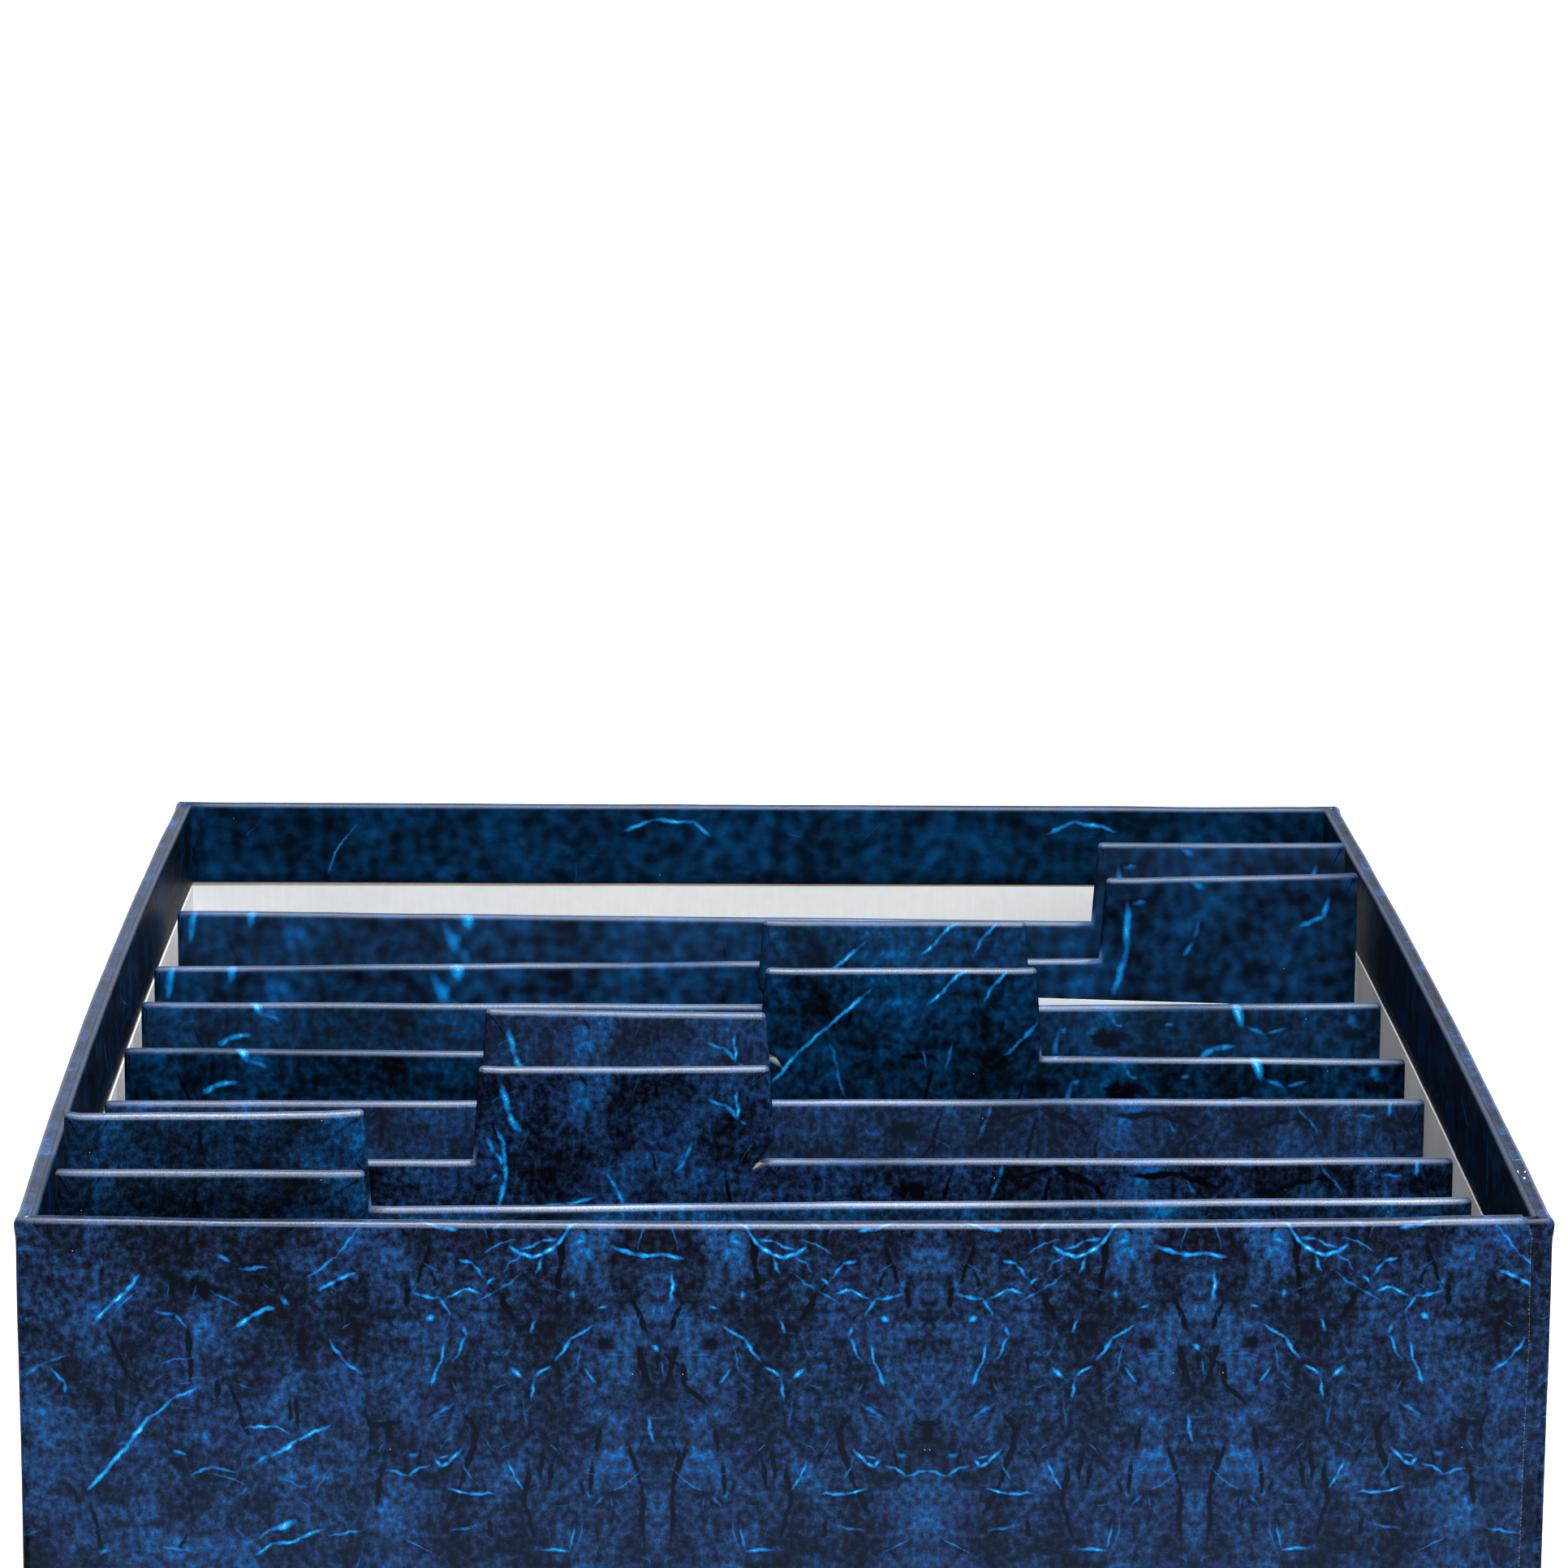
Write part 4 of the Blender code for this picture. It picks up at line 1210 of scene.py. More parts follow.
    def lay(self, run: float, rise: float) -> Vector:
        """Place one point of the flat strip on the box.

        Args:
            run: the place along the strip.
            rise: the place across it.

        Returns:
            The point on the box.
        """
        over = run - self.lap_start
        lift = self.lap_rise * smooth(over / self.lap_ramp)
        lift -= self.flap_sink * smooth((self.starts[0] - self.bend - run) / self.flap_from_corner)
        if over > 0:
            near = smooth((run - self.lap_end + self.lap_shift_reach) / self.lap_shift_reach)
            run += (self.half_width - self.cut(rise) - self.lap_end) * near
        depth, height, out_depth, out_height = self.upward(rise)
        x, y, out_x, out_y = self.across(run)
        uneven = sum(ripple.at(run, rise, 1.0) for ripple in COVER_RIPPLES)
        lift += uneven * smooth((rise - self.ripple_from) / self.ripple_fade) + self.ear_lift(run, rise)
        depth += out_depth * lift
        height += out_height * lift
        if depth < self.fold:
            x -= out_x * depth
            y -= out_y * depth
        elif out_x and out_y:
            x = math.copysign(self.half_width - depth, x)
            y = math.copysign(self.half_length - depth, y)
        else:
            x -= out_x * depth
            y -= out_y * depth
            x = max(depth - self.half_width, min(self.half_width - depth, x))
            y = max(depth - self.half_length, min(self.half_length - depth, y))
        return self.bellied(Vector((x, y, height)))

    def ear_lift(self, run: float, rise: float) -> float:
        """Return how far the folded paper bulges at the top of a corner."""
        nearest = min(abs(run - start + self.bend / 2) for start in self.starts)
        up = abs(rise - self.rim_fold_start) / self.ear_reach
        return self.ear * smooth(1 - nearest / self.ear_reach) * smooth(1 - up)

    def bellied(self, point: Vector) -> Vector:
        """Bow a point of the side and front walls outwards, as the solids do."""
        along = max(0.0, 1 - (point.y / (self.half_length - self.wall)) ** 2)
        across = max(0.0, 1 - (point.x / (self.half_width - self.wall)) ** 2) if point.y < 0 else 0.0
        up = max(0.0, (point.z - self.belly_foot) / (self.height - self.belly_foot)) ** 2
        bow = self.right_belly if point.x > 0 else -self.left_belly
        back = (point.y + self.half_length) / (2 * self.half_length)
        tilt = (self.back_rise - self.back_tilt * point.x / self.half_width) * back * up
        x = point.x + bow * along * up
        y = point.y - self.front_belly * across * up
        return Vector((x, y, point.z + tilt))

    def gloss_and_highlight(self, run: float, rise: float) -> float:
        """Return how much gloss and painted highlight a place of the strip gets: most on the rim's folds.

        The painted highlight is strongest on the front rim, weaker on the back rim and weakest on the side
        rims, and the right rim's top gets less of it than the left rim's top, as painted shade.

        Args:
            run: the place along the strip.
            rise: the place across it.

        Returns:
            The share, from 0 to 1, least on the side walls and at the corners.
        """
        share = (rise - self.rim_fold_start) / self.rim_bend
        share = min(share, (self.inner_fold_end - rise) / self.rim_bend)
        highlit = smooth((share - self.highlight_from) / self.highlight_rise)
        highlit *= 1 - smooth((share - self.highlight_until) / self.highlight_fall)
        weight = self.side_highlight
        for start, full in ((self.starts[1], self.back_highlight), (self.front_start, self.front_highlight)):
            end = start + self.end_run
            if start < run < end:
                taper = smooth(min(run - start, end - run) / self.highlight_taper)
                weight += (full - weight) * taper
        # the right rim's top gets less painted highlight than the left rim's top: painted shade
        between = self.right_rim_highlight if run < self.starts[1] - self.bend else self.rim_highlight
        return max(highlit * weight, between * smooth(share))

    def paper_of(self, run: float, rise: float) -> CoverPaper:
        """Return which of the cover's finishes one place of the strip has."""
        if run > self.front_start or run < self.starts[0] - self.bend:
            return CoverPaper.FRONT
        if rise < self.inner_fold_start:
            return CoverPaper.WALLS
        if self.starts[1] - self.bend < run < self.starts[2] - self.bend:
            return CoverPaper.BACK_TURN_IN
        return CoverPaper.SIDE_TURN_IN

    def runs(self) -> list[float]:
        """Return where the strip is scored upright."""
        lines = spread(self.flap_start, self.starts[0] - self.bend, FLAP_PARTS)
        walls = ((self.side_run, SIDE_PARTS), (self.end_run, END_PARTS)) * 2
        for start, (run, count) in zip(self.starts, walls):
            lines += spread(start - self.bend, start, CORNER_PARTS)[:-1]
            lines += spread(start, start + run, count)[:-1]
        lines = [line for line in lines if line < self.lap_start]
        lines += spread(self.lap_start, self.lap_end, LAP_PARTS)
        return lines[1:-1]

    def rises(self) -> list[float]:
        """Return where the strip is scored lengthwise."""
        top = self.rim_fold_start
        wall = (self.base_fold_end - self.bend, self.base_fold_end, self.finer_from, top - self.finest_reach,
                top - self.highlight_fade)
        rim = (top, top + self.rim_bend, self.inner_fold_start, self.inner_fold_end)
        lines = [self.strip_foot + score_at for score_at in self.foot_scores]
        lines += chained(wall, WALL_PARTS) + chained(rim, RIM_PARTS)
        lines += spread(self.inner_fold_end + self.highlight_fade, self.strip_top, TURN_IN_PARTS)
        return lines[:-1]

    def make(self, papers: Papers) -> bpy.types.Object:
        """Cut the flat strip, score it, and fold it round the box.

        Args:
            papers: the finishes.

        Returns:
            The cover.
        """
        bm = bmesh.new()
        bmesh.ops.create_grid(bm, x_segments=1, y_segments=1, size=0.5)
        run_span = self.lap_end - self.flap_start
        rise_span = self.strip_top - self.strip_foot
        bmesh.ops.scale(bm, vec=(run_span, rise_span, 1), verts=bm.verts)
        bmesh.ops.translate(bm, vec=((self.lap_end + self.flap_start) / 2,
                                     (self.strip_top + self.strip_foot) / 2, 0), verts=bm.verts)
        score(bm, 0, self.runs())
        score(bm, 1, self.rises())
        sheet = bm.loops.layers.uv.new(SHEET_MAP)
        wear = bm.verts.layers.float.new(WEAR)
        # the fold attribute: where the folds get extra gloss and a painted highlight
        fold = bm.verts.layers.float.new(FOLD_GLOSS_AND_HIGHLIGHT)
        for face in bm.faces:
            for loop in face.loops:
                loop[sheet].uv = (loop.vert.co.x, loop.vert.co.y)
            middle = face.calc_center_median()
            face.material_index = self.paper_of(middle.x, middle.y)
        for vert in bm.verts:
            run, rise = vert.co.x, vert.co.y
            vert[wear] = self.cut_wear * smooth((run - self.lap_end + self.cut_reach) / self.cut_fade)
            vert[fold] = self.gloss_and_highlight(run, rise)
            vert.co = self.lay(run, rise)
        bmesh.ops.remove_doubles(bm, verts=bm.verts, dist=SAME_PLACE)
        bmesh.ops.dissolve_degenerate(bm, edges=bm.edges, dist=TINY)
        item = publish("cover_wrap_printed", bm, (papers.cover, papers.front_cover, papers.back_turn_in,
                                                  papers.side_turn_in, papers.core))
        shade_smooth(item.data)
        thicken(item, self.paper)
        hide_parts("cover_wrap")
        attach(item, "box")
        return item


@dataclass(frozen=True)
class FoldHighlight:
    """How much extra gloss and painted highlight the folds over a divider's edges get, from 0 to 1.

    The first numbers are for the dull upright edges, the usual share, and the share that is left at the
    two ends of an edge. The front fold's painted highlight rises and falls over angles in degrees, round
    the bend; the back fold's rises with how far its face looks up.
    """

    upright: float = -0.2
    usual: float = 0.75
    end_share: float = 0.25
    end_reach: float = 0.005
    rise_from: float = 14
    rise_over: float = 40
    fall_from: float = 68
    fall_over: float = 20
    fall: float = 0.75
    middle: float = 0.16
    back: float = 0.8
    back_from: float = 0.3
    back_over: float = 0.4


FOLD_HIGHLIGHT = FoldHighlight()


@dataclass
class DividerCover:
    """The printed cover of one divider: its front, the folds over its edges, and the border behind."""

    number: int
    tab: Tab
    hand: int
    place: float
    slide: float
    turn: float
    tab_slope: float = 0.0
    shoulder_slope: float = 0.0
    # how strong the painted highlight on this divider's folds is
    press: float = 1.0
    width: float = 0.168
    foot: float = 0.0032
    body_height: float = 0.1092
    tab_height: float = 0.0117
    tab_width: float = 0.0354
    tab_flare: float = 0.0008
    middle_gap: float = 0.0004
    nick_rise: float = 0.0026
    nick_reach: float = 0.0021
    nick_width: float = 0.0008
    nick_depth: float = 0.0005
    nick_wear: float = 0.62
    nick_wear_reach: float = 0.0005
    corner: float = 0.0006
    corner_parts: int = 4
    fold_parts: int = 6
    fold: float = 0.00085
    back_fold: float = 0.0003
    ear: float = 0.00010
    ear_reach: float = 0.0022
    edge_dip: float = 0.00007
    wrapped: float = 0.0016
    total: float = 0.00185
    turn_in: float = 0.011
    paper: float = 0.0002
    side_inset: float = 0.002
    upright_parts: int = 40
    scored_from: float = 0.085
    scored_to: float = 0.1205
    level_parts: int = 12

    def outline(self) -> list[Point]:
        """Return the divider's outline from the front, counter-clockwise from its lower left corner."""
        half = self.width / 2
        shoulder = self.body_height
        top = shoulder + self.tab_height
        end = shoulder + self.tab_height * self.shoulder_slope
        if self.tab is Tab.SIDE:
            right = self.tab_width - half
            points = [(-half, 0), (half, 0), (half, end), (right + self.tab_flare, shoulder),
                      (right, top), (-half, top)]
        else:
            right = -self.middle_gap / 2
            left = right - self.tab_width
            neck = right + self.tab_flare
            nick = neck - self.nick_reach
            points = [(-half, 0), (half, 0), (half, end if self.hand > 0 else shoulder),
                      (nick + self.nick_width, shoulder), (nick, shoulder - self.nick_depth),
                      (neck, shoulder + self.nick_rise), (right, top), (left, top),
                      (left - self.tab_flare, shoulder), (-half, end if self.hand < 0 else shoulder)]
        if self.hand < 0:
            points = [(-x, z) for x, z in points[::-1]]
        slope = self.tab_height * self.tab_slope / self.tab_width
        tops = [x for x, z in points if z == top]
        middle = sum(tops) / len(tops)
        return [(x, z + slope * (x - middle) if z == top else z) for x, z in points]

    def blank(self) -> bmesh.types.BMesh:
        """Cut the outline out of a flat sheet, round its corners and fold its edges back.

        Returns:
            The folded cover, closed all round.
        """
        outline = self.outline()
        bm = bmesh.new()
        ring = [bm.verts.new((x, 0, z)) for x, z in outline]
        bm.faces.new(ring)
        outward = []
        for index, vert in enumerate(ring):
            before = Vector(outline[index]) - Vector(outline[index - 1])
            after = Vector(outline[(index + 1) % len(outline)]) - Vector(outline[index])
            if before.cross(after) > 0:
                outward.append(vert)
        bmesh.ops.bevel(bm, geom=outward, offset=self.corner, offset_type="OFFSET",
                        segments=self.corner_parts, profile=0.5, affect="VERTICES", material=-1,
                        clamp_overlap=True)
        raised = bmesh.ops.extrude_face_region(bm, geom=bm.faces[:])["geom"]
        bmesh.ops.translate(bm, vec=(0, self.wrapped, 0),
                            verts=[part for part in raised if isinstance(part, bmesh.types.BMVert)])
        for depth, fold in ((0.0, self.fold), (self.wrapped, self.back_fold)):
            rims = [edge for edge in bm.edges if all(abs(vert.co.y - depth) < TINY for vert in edge.verts)]
            bmesh.ops.bevel(bm, geom=rims, offset=fold, offset_type="OFFSET", segments=self.fold_parts,
                            profile=0.5, affect="EDGES", material=-1, clamp_overlap=False)
        bmesh.ops.recalc_face_normals(bm, faces=bm.faces)
        return bm

    def make(self, papers: Papers) -> bpy.types.Object:
        """Make the cover and stand it in its place.

        Args:
            papers: the finishes.

        Returns:
            The cover.
        """
        bm = self.blank()
        half = self.width / 2
        reach = half - self.turn_in
        inset = half - self.side_inset
        upright = spread(-inset, inset, self.upright_parts)
        level = spread(self.scored_from, self.scored_to, self.level_parts)
        score(bm, 0, sorted([-reach, reach] + upright))
        score(bm, 2, sorted([self.turn_in, self.body_height - self.turn_in] + level))
        score(bm, 1, [self.middle_depth])
        bm.normal_update()
        window = [face for face in bm.faces if self.in_window(face, reach)]
        bmesh.ops.delete(bm, geom=window, context="FACES")
        sheet = bm.loops.layers.uv.new(SHEET_MAP)
        wear = bm.verts.layers.float.new(WEAR)
        # the fold attribute: where the folds get extra gloss and a painted highlight
        fold = bm.verts.layers.float.new(FOLD_GLOSS_AND_HIGHLIGHT)
        for face in bm.faces:
            normal = face.normal
            for loop in face.loops:
                x, depth, z = loop.vert.co
                loop[sheet].uv = (self.unfolded(x, depth, normal.x), self.unfolded(z, depth, normal.z))
        nicks = [Vector((x, 0, z)) for x, z in self.outline()
                 if abs(z - self.body_height) < self.nick_rise + 1e-4 and abs(x) < half - MM]
        for vert in bm.verts:
            near = min([(vert.co - nick).length for nick in nicks], default=1.0)
            vert[wear] = self.nick_wear * smooth(1 - near / self.nick_wear_reach)
            vert[fold] = self.gloss_and_highlight(vert)
            self.soften(vert)
        bmesh.ops.translate(bm, vec=(0, -self.total / 2, 0), verts=bm.verts)
        turn = Matrix.Rotation(math.radians(self.turn), 4, "Z")
        stand = Matrix.Translation((self.slide, self.place, self.foot))
        bmesh.ops.transform(bm, matrix=stand @ turn, verts=bm.verts)
        item = publish(f"divider_{self.number}_cover_printed", bm,
                       (papers.dividers[self.number - 1], papers.core))
        shade_smooth(item.data)
        thicken(item, self.paper)
        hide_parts(f"divider_{self.number}_cover")
        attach(item, f"divider_{self.number}")
        return item

    @staticmethod
    def unfolded(place: float, depth: float, slant: float) -> float:
        """Return where a point of a fold lies on the flat sheet, on one axis.

        Args:
            place: where it lies now.
            depth: how far behind the front it lies.
            slant: how far its face looks along the axis, from -1 to 1.

        Returns:
            The place on the flat sheet.
        """
        return place + math.copysign(depth, slant) * min(1, abs(slant) * 2)

    def in_window(self, face: bmesh.types.BMFace, reach: float) -> bool:
        """Whether a face lies behind, inside the turned-in border."""
        middle = face.calc_center_median()
        return (middle.y > self.wrapped - 1e-5 and abs(middle.x) < reach
                and self.turn_in < middle.z < self.body_height - self.turn_in)

    @property
    def middle_depth(self) -> float:
        """Return how deep the middle of the flat strip between the two folds lies."""
        return (self.fold + self.wrapped - self.back_fold) / 2

    def gloss_and_highlight(self, vert: bmesh.types.BMVert) -> float:
        """Return how much gloss and painted highlight one point gets: on the folds over upper edges only.

        Args:
            vert: the point.

        Returns:
            The share up to 1, and less than nothing on the dull upright edges.
        """
        place, normal = vert.co, vert.normal
        if abs(normal.x) > 0.9:
            return FOLD_HIGHLIGHT.upright
        wander = FOLD_HIGHLIGHT.usual + HIGHLIGHT_RIPPLE.at(place.x, self.number, place.z)
        inwards = smooth((self.width / 2 - abs(place.x)) / FOLD_HIGHLIGHT.end_reach)
        taper = FOLD_HIGHLIGHT.end_share + (1 - FOLD_HIGHLIGHT.end_share) * inwards
        if place.y < self.fold + TINY:
            angle = math.degrees(math.atan2(normal.z, -normal.y))
            past = smooth((angle - FOLD_HIGHLIGHT.fall_from) / FOLD_HIGHLIGHT.fall_over)
            highlit = smooth((angle - FOLD_HIGHLIGHT.rise_from) / FOLD_HIGHLIGHT.rise_over)
            highlit *= 1 - FOLD_HIGHLIGHT.fall * past
        elif place.y < self.middle_depth + TINY:
            highlit = FOLD_HIGHLIGHT.middle if normal.z > 0.5 else 0.0
        else:
            highlit = FOLD_HIGHLIGHT.back * smooth((normal.z - FOLD_HIGHLIGHT.back_from) / FOLD_HIGHLIGHT.back_over)
        return max(0.0, min(1.0, highlit * wander * taper * self.press))

    def soften(self, vert: bmesh.types.BMVert) -> None:
        """Dip the middle of the folded edge and let the folds wander a little, as hand-folded ones do."""
        place = vert.co
        if abs(place.y - self.middle_depth) < TINY:
            vert.co = place - vert.normal * self.edge_dip
        uneven = sum(ripple.at(place.x, self.number, place.z) for ripple in DIVIDER_RIPPLES)
        if place.z > self.body_height - 2 * MM:
            vert.co.z += uneven
        if place.z > self.body_height + self.tab_height - 3 * MM:
            ends = [x for x, z in self.outline() if z > self.body_height + self.tab_height / 2]
            near = min(abs(place.x - min(ends)), abs(place.x - max(ends)))
            vert.co.z += self.ear * smooth(1 - near / self.ear_reach)


@dataclass
class DividerSet:
    """The eight dividers, front to back."""

    inside_length: float = 0.2173
    half_length: float = 0.111
    wall: float = 0.00235
    clearance: float = 0.00115
    place_shares: tuple[float, ...] = (0.0129, 0.1404, 0.2296, 0.3567, 0.4635, 0.5843, 0.6969, 0.8193)
    slide_shares: tuple[float, ...] = (0.45, -0.84, -0.85, -0.85, -0.85, -0.77, -0.85, -0.45)
    turns: tuple[float, ...] = (-0.7, 1.75, 0.35, 0.5, -1.8, -0.6, 2.4, -2.4)
    tab_slopes: tuple[float, ...] = (0.0, 0.0, 0.0, -0.06, 0.03, 0.0, 0.04, 0.03)
    shoulder_slopes: tuple[float, ...] = (0.0, 0.0, 0.0, 0.0, 0.0, 0.05, 0.0, 0.0)
    # the strength of the painted highlight on each divider's folds
    highlights: tuple[float, ...] = (0.80, 0.95, 0.90, 0.92, 0.80, 0.75, 0.55, 0.50)
    ears: tuple[float, ...] = (0.00006, 0.00024, 0.00010, 0.00012, 0.00006, 0.00008, 0.00010, 0.00006)
    tabs: tuple[tuple[Tab, int], ...] = ((Tab.SIDE, 1), (Tab.SIDE, 1), (Tab.MIDDLE, 1), (Tab.MIDDLE, 1),
                                         (Tab.MIDDLE, -1), (Tab.MIDDLE, -1), (Tab.SIDE, -1), (Tab.SIDE, -1))

    def make(self, papers: Papers) -> list[bpy.types.Object]:
        """Make every divider's cover.

        Args:
            papers: the finishes.

        Returns:
            The covers, front to back.
        """
        covers = []
        for index, (tab, hand) in enumerate(self.tabs):
            place = self.wall + self.inside_length * self.place_shares[index] - self.half_length
            cover = DividerCover(index + 1, tab, hand, place, self.clearance * self.slide_shares[index],
                                 self.turns[index], self.tab_slopes[index], self.shoulder_slopes[index],
                                 self.highlights[index], ear=self.ears[index])
            covers.append(cover.make(papers))
        return covers


@dataclass(frozen=True)
class Lamp:
    """A rectangular soft light: where it hangs, the point that it faces, its size and its watts."""

    name: str
    place: Triple
    aim: Triple
    size: Point
    power: float

    def make(self) -> None:
        """Hang the lamp."""
        light = bpy.data.lights.new(self.name, "AREA")
        light.shape = "RECTANGLE"
        light.size, light.size_y = self.size
        light.energy = self.power
        item = bpy.data.objects.new(self.name, light)
        item.location = self.place
        item.rotation_euler = (Vector(self.aim) - Vector(self.place)).to_track_quat("-Z", "Y").to_euler()
        bpy.context.scene.collection.objects.link(item)


@dataclass(frozen=True)
class Studio:
    """The floor, the lamps, the world and the camera."""

    lens: float = 134.146
    sensor: float = 36.0
    camera_place: Triple = (-0.013089, -0.749659, 0.307045)
    yaw: float = 1.12307
    pitch: float = 12.05414
    roll: float = 0.33550
    near: float = 0.01
    far: float = 100.0
    floor_size: float = 30.0
    floor_grey: float = 0.8
    seen_grey: float = 0.5
    seen_glow: float = 0.82
    sky: float = 0.35
    lamps: tuple[Lamp, ...] = (Lamp("key", (0.45, -1.34, 1.10), (0, 0, 0.08), (0.9, 0.9), 27.0),
                               Lamp("overhead", (0.12, 0.05, 1.25), (0, 0, 0.1), (1.2, 0.6), 22.0))

    def floor(self) -> None:
        """Add the pale floor: white to the camera and in reflections, where it keeps the shadow."""
        bm = bmesh.new()
        bmesh.ops.create_grid(bm, x_segments=1, y_segments=1, size=self.floor_size)
        nodes = Nodes("studio_floor")
        path = nodes.add("LightPath").outputs
        mirrored = nodes.math("MAXIMUM", path["Is Glossy Ray"], path["Is Transmission Ray"])
        matt, faint = (nodes.add("BsdfDiffuse", {}, Color=(grey, grey, grey, 1.0)).outputs[0]
                       for grey in (self.floor_grey, self.seen_grey))
        white, glow = (nodes.add("Emission", {}, Color=(1, 1, 1, 1), Strength=strength).outputs[0]
                       for strength in (1.0, self.seen_glow))
        seen = nodes.add("AddShader", {}, i0=faint, i1=glow).outputs[0]
        shader = nodes.add("MixShader", {}, i0=mirrored, i1=matt, i2=white).outputs[0]
        shader = nodes.add("MixShader", {}, i0=path["Is Camera Ray"], i1=shader, i2=seen).outputs[0]
        material = nodes.finish(shader)
        item = publish("floor", bm, (material,))

    def world(self) -> None:
        """Set a soft even sky, white to the camera and in reflections."""
        world = bpy.data.worlds.new("studio")
        world.use_nodes = True
        bpy.context.scene.world = world
        tree = world.node_tree
        background = tree.nodes["Background"]
        background.inputs["Color"].default_value = (1, 1, 1, 1)
        path = tree.nodes.new("ShaderNodeLightPath").outputs
        seen = path["Is Camera Ray"]
        for kind in ("Is Glossy Ray", "Is Transmission Ray"):
            either = tree.nodes.new("ShaderNodeMath")
            either.operation = "MAXIMUM"
            tree.links.new(seen, either.inputs[0])
            tree.links.new(path[kind], either.inputs[1])
            seen = either.outputs[0]
        strength = tree.nodes.new("ShaderNodeMapRange")
        strength.inputs["To Min"].default_value = self.sky
        strength.inputs["To Max"].default_value = 1.0
        tree.links.new(seen, strength.inputs["Value"])
        tree.links.new(strength.outputs[0], background.inputs["Strength"])

    def camera(self) -> None:
        """Set the camera at the photograph's place and angle."""
        yaw, pitch, roll = (math.radians(angle) for angle in (self.yaw, self.pitch, self.roll))
        forward = Vector((math.sin(yaw) * math.cos(pitch), math.cos(yaw) * math.cos(pitch), -math.sin(pitch)))
        right = Vector((math.cos(yaw), -math.sin(yaw), 0))
        up = right.cross(forward)
        turned_right = right * math.cos(roll) + up * math.sin(roll)
        turned_up = up * math.cos(roll) - right * math.sin(roll)
        data = bpy.data.cameras.new("camera")
        data.sensor_width = self.sensor
        data.lens = self.lens
        data.clip_start = self.near
        data.clip_end = self.far
        item = bpy.data.objects.new("camera", data)
        basis = Matrix((turned_right, turned_up, -forward)).transposed().to_4x4()
        item.matrix_world = Matrix.Translation(self.camera_place) @ basis
        bpy.context.scene.collection.objects.link(item)
        bpy.context.scene.camera = item

    def make(self) -> None:
        """Build the studio."""
        bpy.context.scene.view_settings.view_transform = "Standard"
        self.floor()
        self.world()
        for lamp in self.lamps:
            lamp.make()
        self.camera()


def divider_papers() -> tuple[bpy.types.Material, ...]:
    """Make the dividers' papers: each pair shares a print, and the one behind is a little paler.

    Returns:
        The papers, front to back.
    """
    plain = FibrePaper("divider_paper", large_share=0.02, more_below=0.082)
    pairs = (replace(plain, ink=BLUE, softness=-0.3, loose=0.3, fold_gloss=1.25),
             replace(plain, ink=NAVY, strokes=SECOND_PAIR_STROKES, cracks=SECOND_PAIR_CRACKS, loose=0.6,
                     more_shift=11.7),
             replace(plain, ink=TEAL, strokes=THIRD_PAIR_STROKES, cracks=THIRD_PAIR_CRACKS, softness=0.45,
                     loose=0.4, more_shift=17.1),
             replace(plain, ink=BLUE, strokes=FOURTH_PAIR_STROKES, softness=1.2, loose=0.3, more_shift=22.9))
    tones = ((-0.08, 0.0), (0.04, 0.02), (-0.04, 0.0), (0.0, 0.11), (-0.06, 0.0), (0.0, 0.08), (0.03, 0.0),
             (0.04, 0.07))
    return tuple(replace(pairs[index // 2], name=f"divider_{index + 1}_paper", shade=shade, veil=veil).make()
                 for index, (shade, veil) in enumerate(tones))


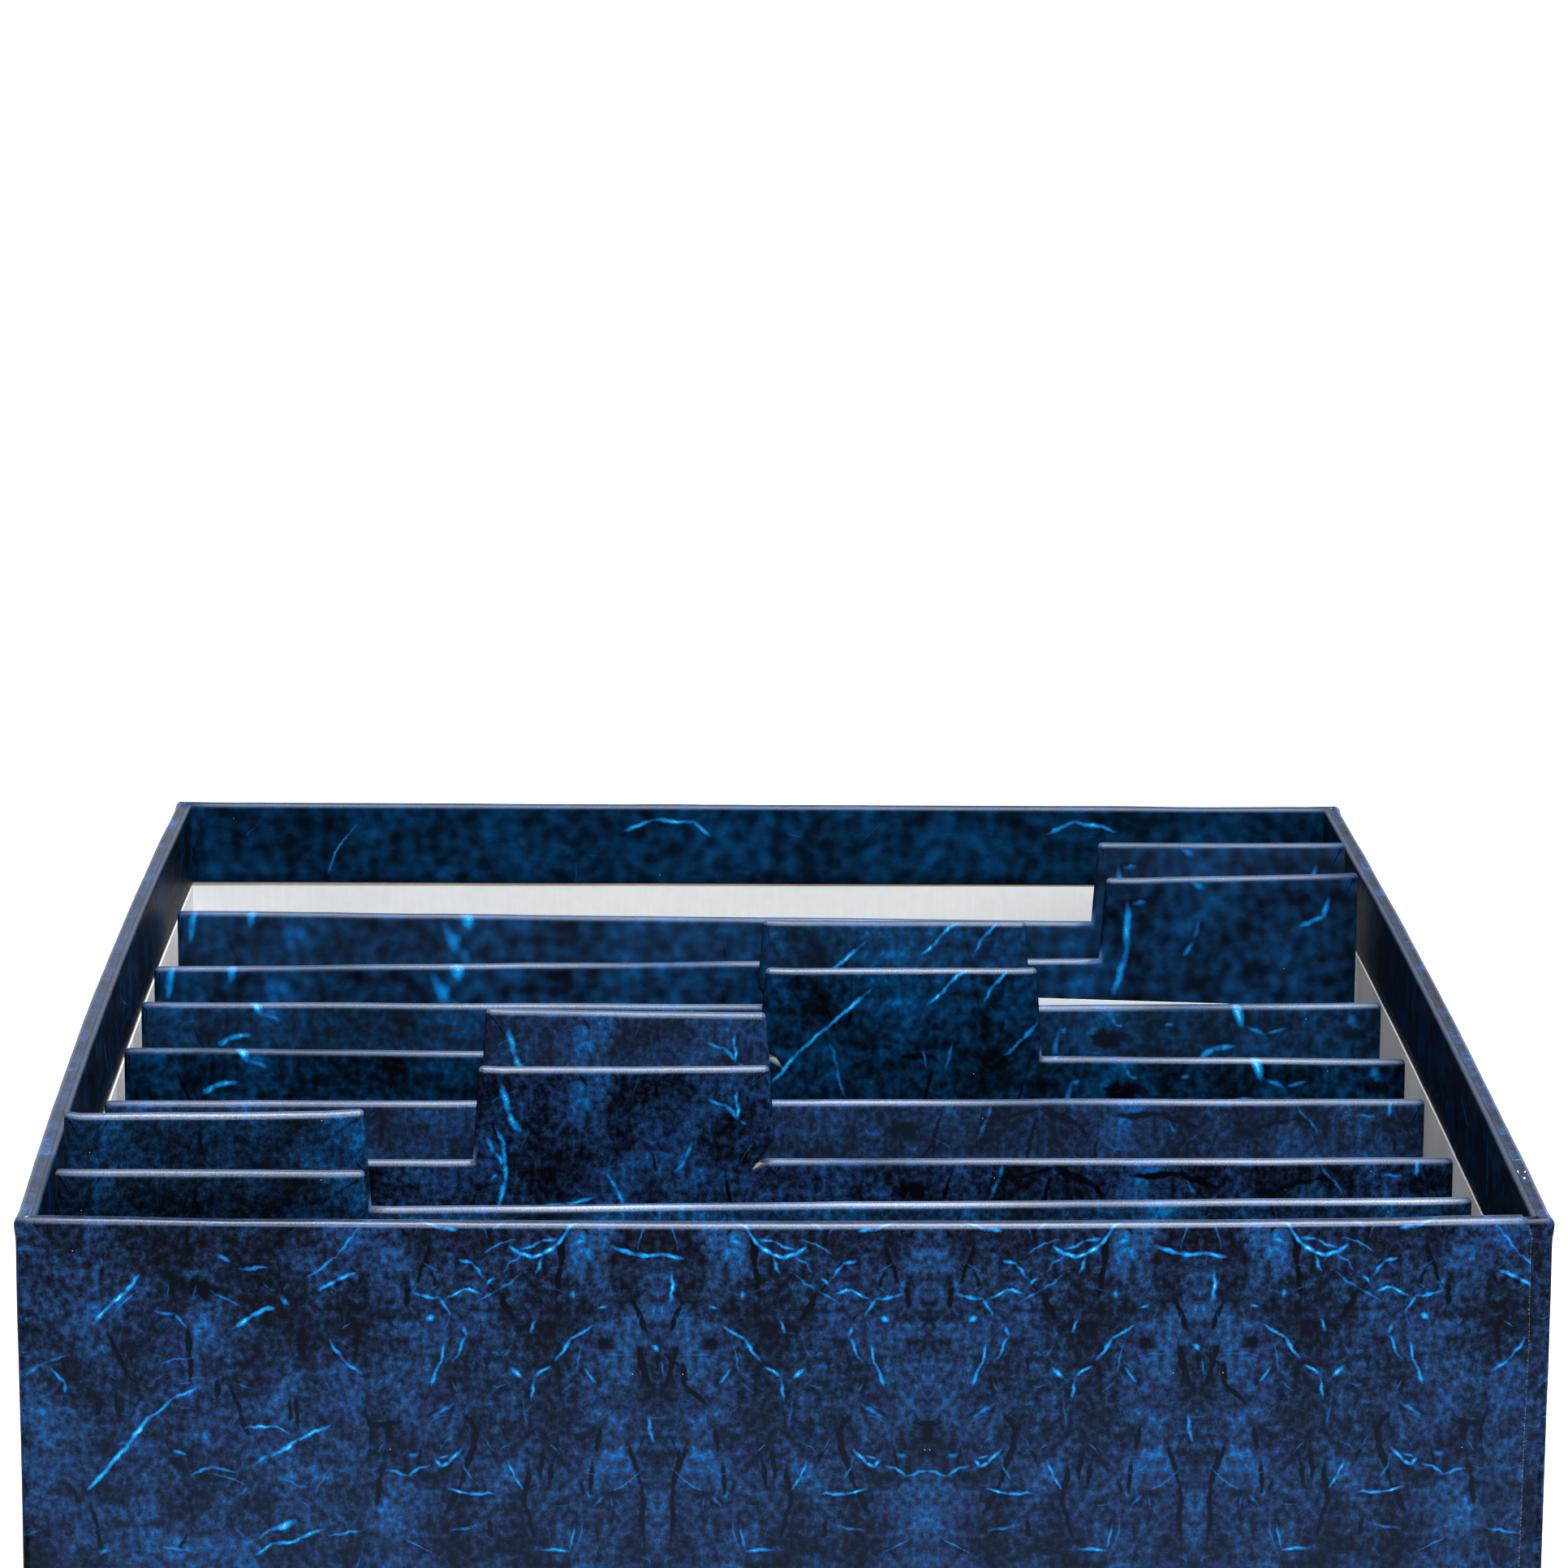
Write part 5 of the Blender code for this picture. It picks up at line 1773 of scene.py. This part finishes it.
def make_papers() -> Papers:
    """Make every finish.

    Returns:
        The finishes of the box.
    """
    return Papers(
        cover=FibrePaper("cover_fibre_paper", NAVY, RIM_STROKES, scuffs=RIM_SCUFFS, gloss=0.04).make(),
        # On the front, the negative shade and the pale setting paint light: darker at the top, lighter and
        # hazier toward the foot
        front_cover=FibrePaper("front_fibre_paper", NAVY, FRONT_STROKES, FRONT_CRACKS, FRONT_LONE_STROKES,
                               FRONT_LONE_CRACKS, mirror_from=-0.0146, shade=-0.060, painted_bounce_light=0.10,
                               large_share=0.02, more_below=0.068, gloss=0.045, sparkle=0.5).make(),
        back_turn_in=FibrePaper("back_turn_in_paper", TEAL, COVER_STROKES, softness=1.4, loose=0.5,
                                large_share=0.2).make(),
        # the side turn-ins get the darker ink: painted shade
        side_turn_in=FibrePaper("side_turn_in_painted_shade_paper", SHADED_INK, softness=0.5, loose=0.5, large_share=0.2,
                                gloss=0.01).make(),
        dividers=divider_papers(),
        underside=FibrePaper("underside_fibre_paper", NAVY, coordinates=Coordinates.OBJECT).make(),
        core=PlainPaper("paper_core", linear(226, 226, 230), linear(205, 205, 210)).make(),
        lining=PlainPaper("lining_paper", linear(216, 218, 219), linear(204, 206, 208)).make(),
        board=PlainPaper("greyboard", linear(172, 164, 150), linear(150, 142, 128), 0.0009, 0.95).make(),
        stay=PlainPaper("gummed_stay_paper", linear(190, 158, 118), linear(170, 138, 100),
                        0.0008, 0.8).make(),
    )


def dress(nodes: dict[str, bpy.types.Object], papers: Papers) -> None:
    """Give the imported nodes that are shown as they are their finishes.

    Args:
        nodes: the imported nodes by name.
        papers: the finishes.
    """
    for name, item in nodes.items():
        if name.endswith("_board"):
            paper = papers.board
        elif name.startswith("corner_stay"):
            paper = papers.stay
        elif name == "bottom_sheet":
            paper = papers.underside
        else:
            paper = papers.lining
        item.data.materials.clear()
        item.data.materials.append(paper)


def main() -> None:
    """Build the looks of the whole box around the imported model."""
    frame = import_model()
    papers = make_papers()
    dress(frame["nodes"], papers)
    cover = CoverWrap().make(papers)
    LOG.info("%s has %d faces", cover.name, len(cover.data.polygons))
    for piece in DividerSet().make(papers):
        LOG.info("%s has %d faces", piece.name, len(piece.data.polygons))
    Studio().make()


if __name__ == "__main__":
    main()
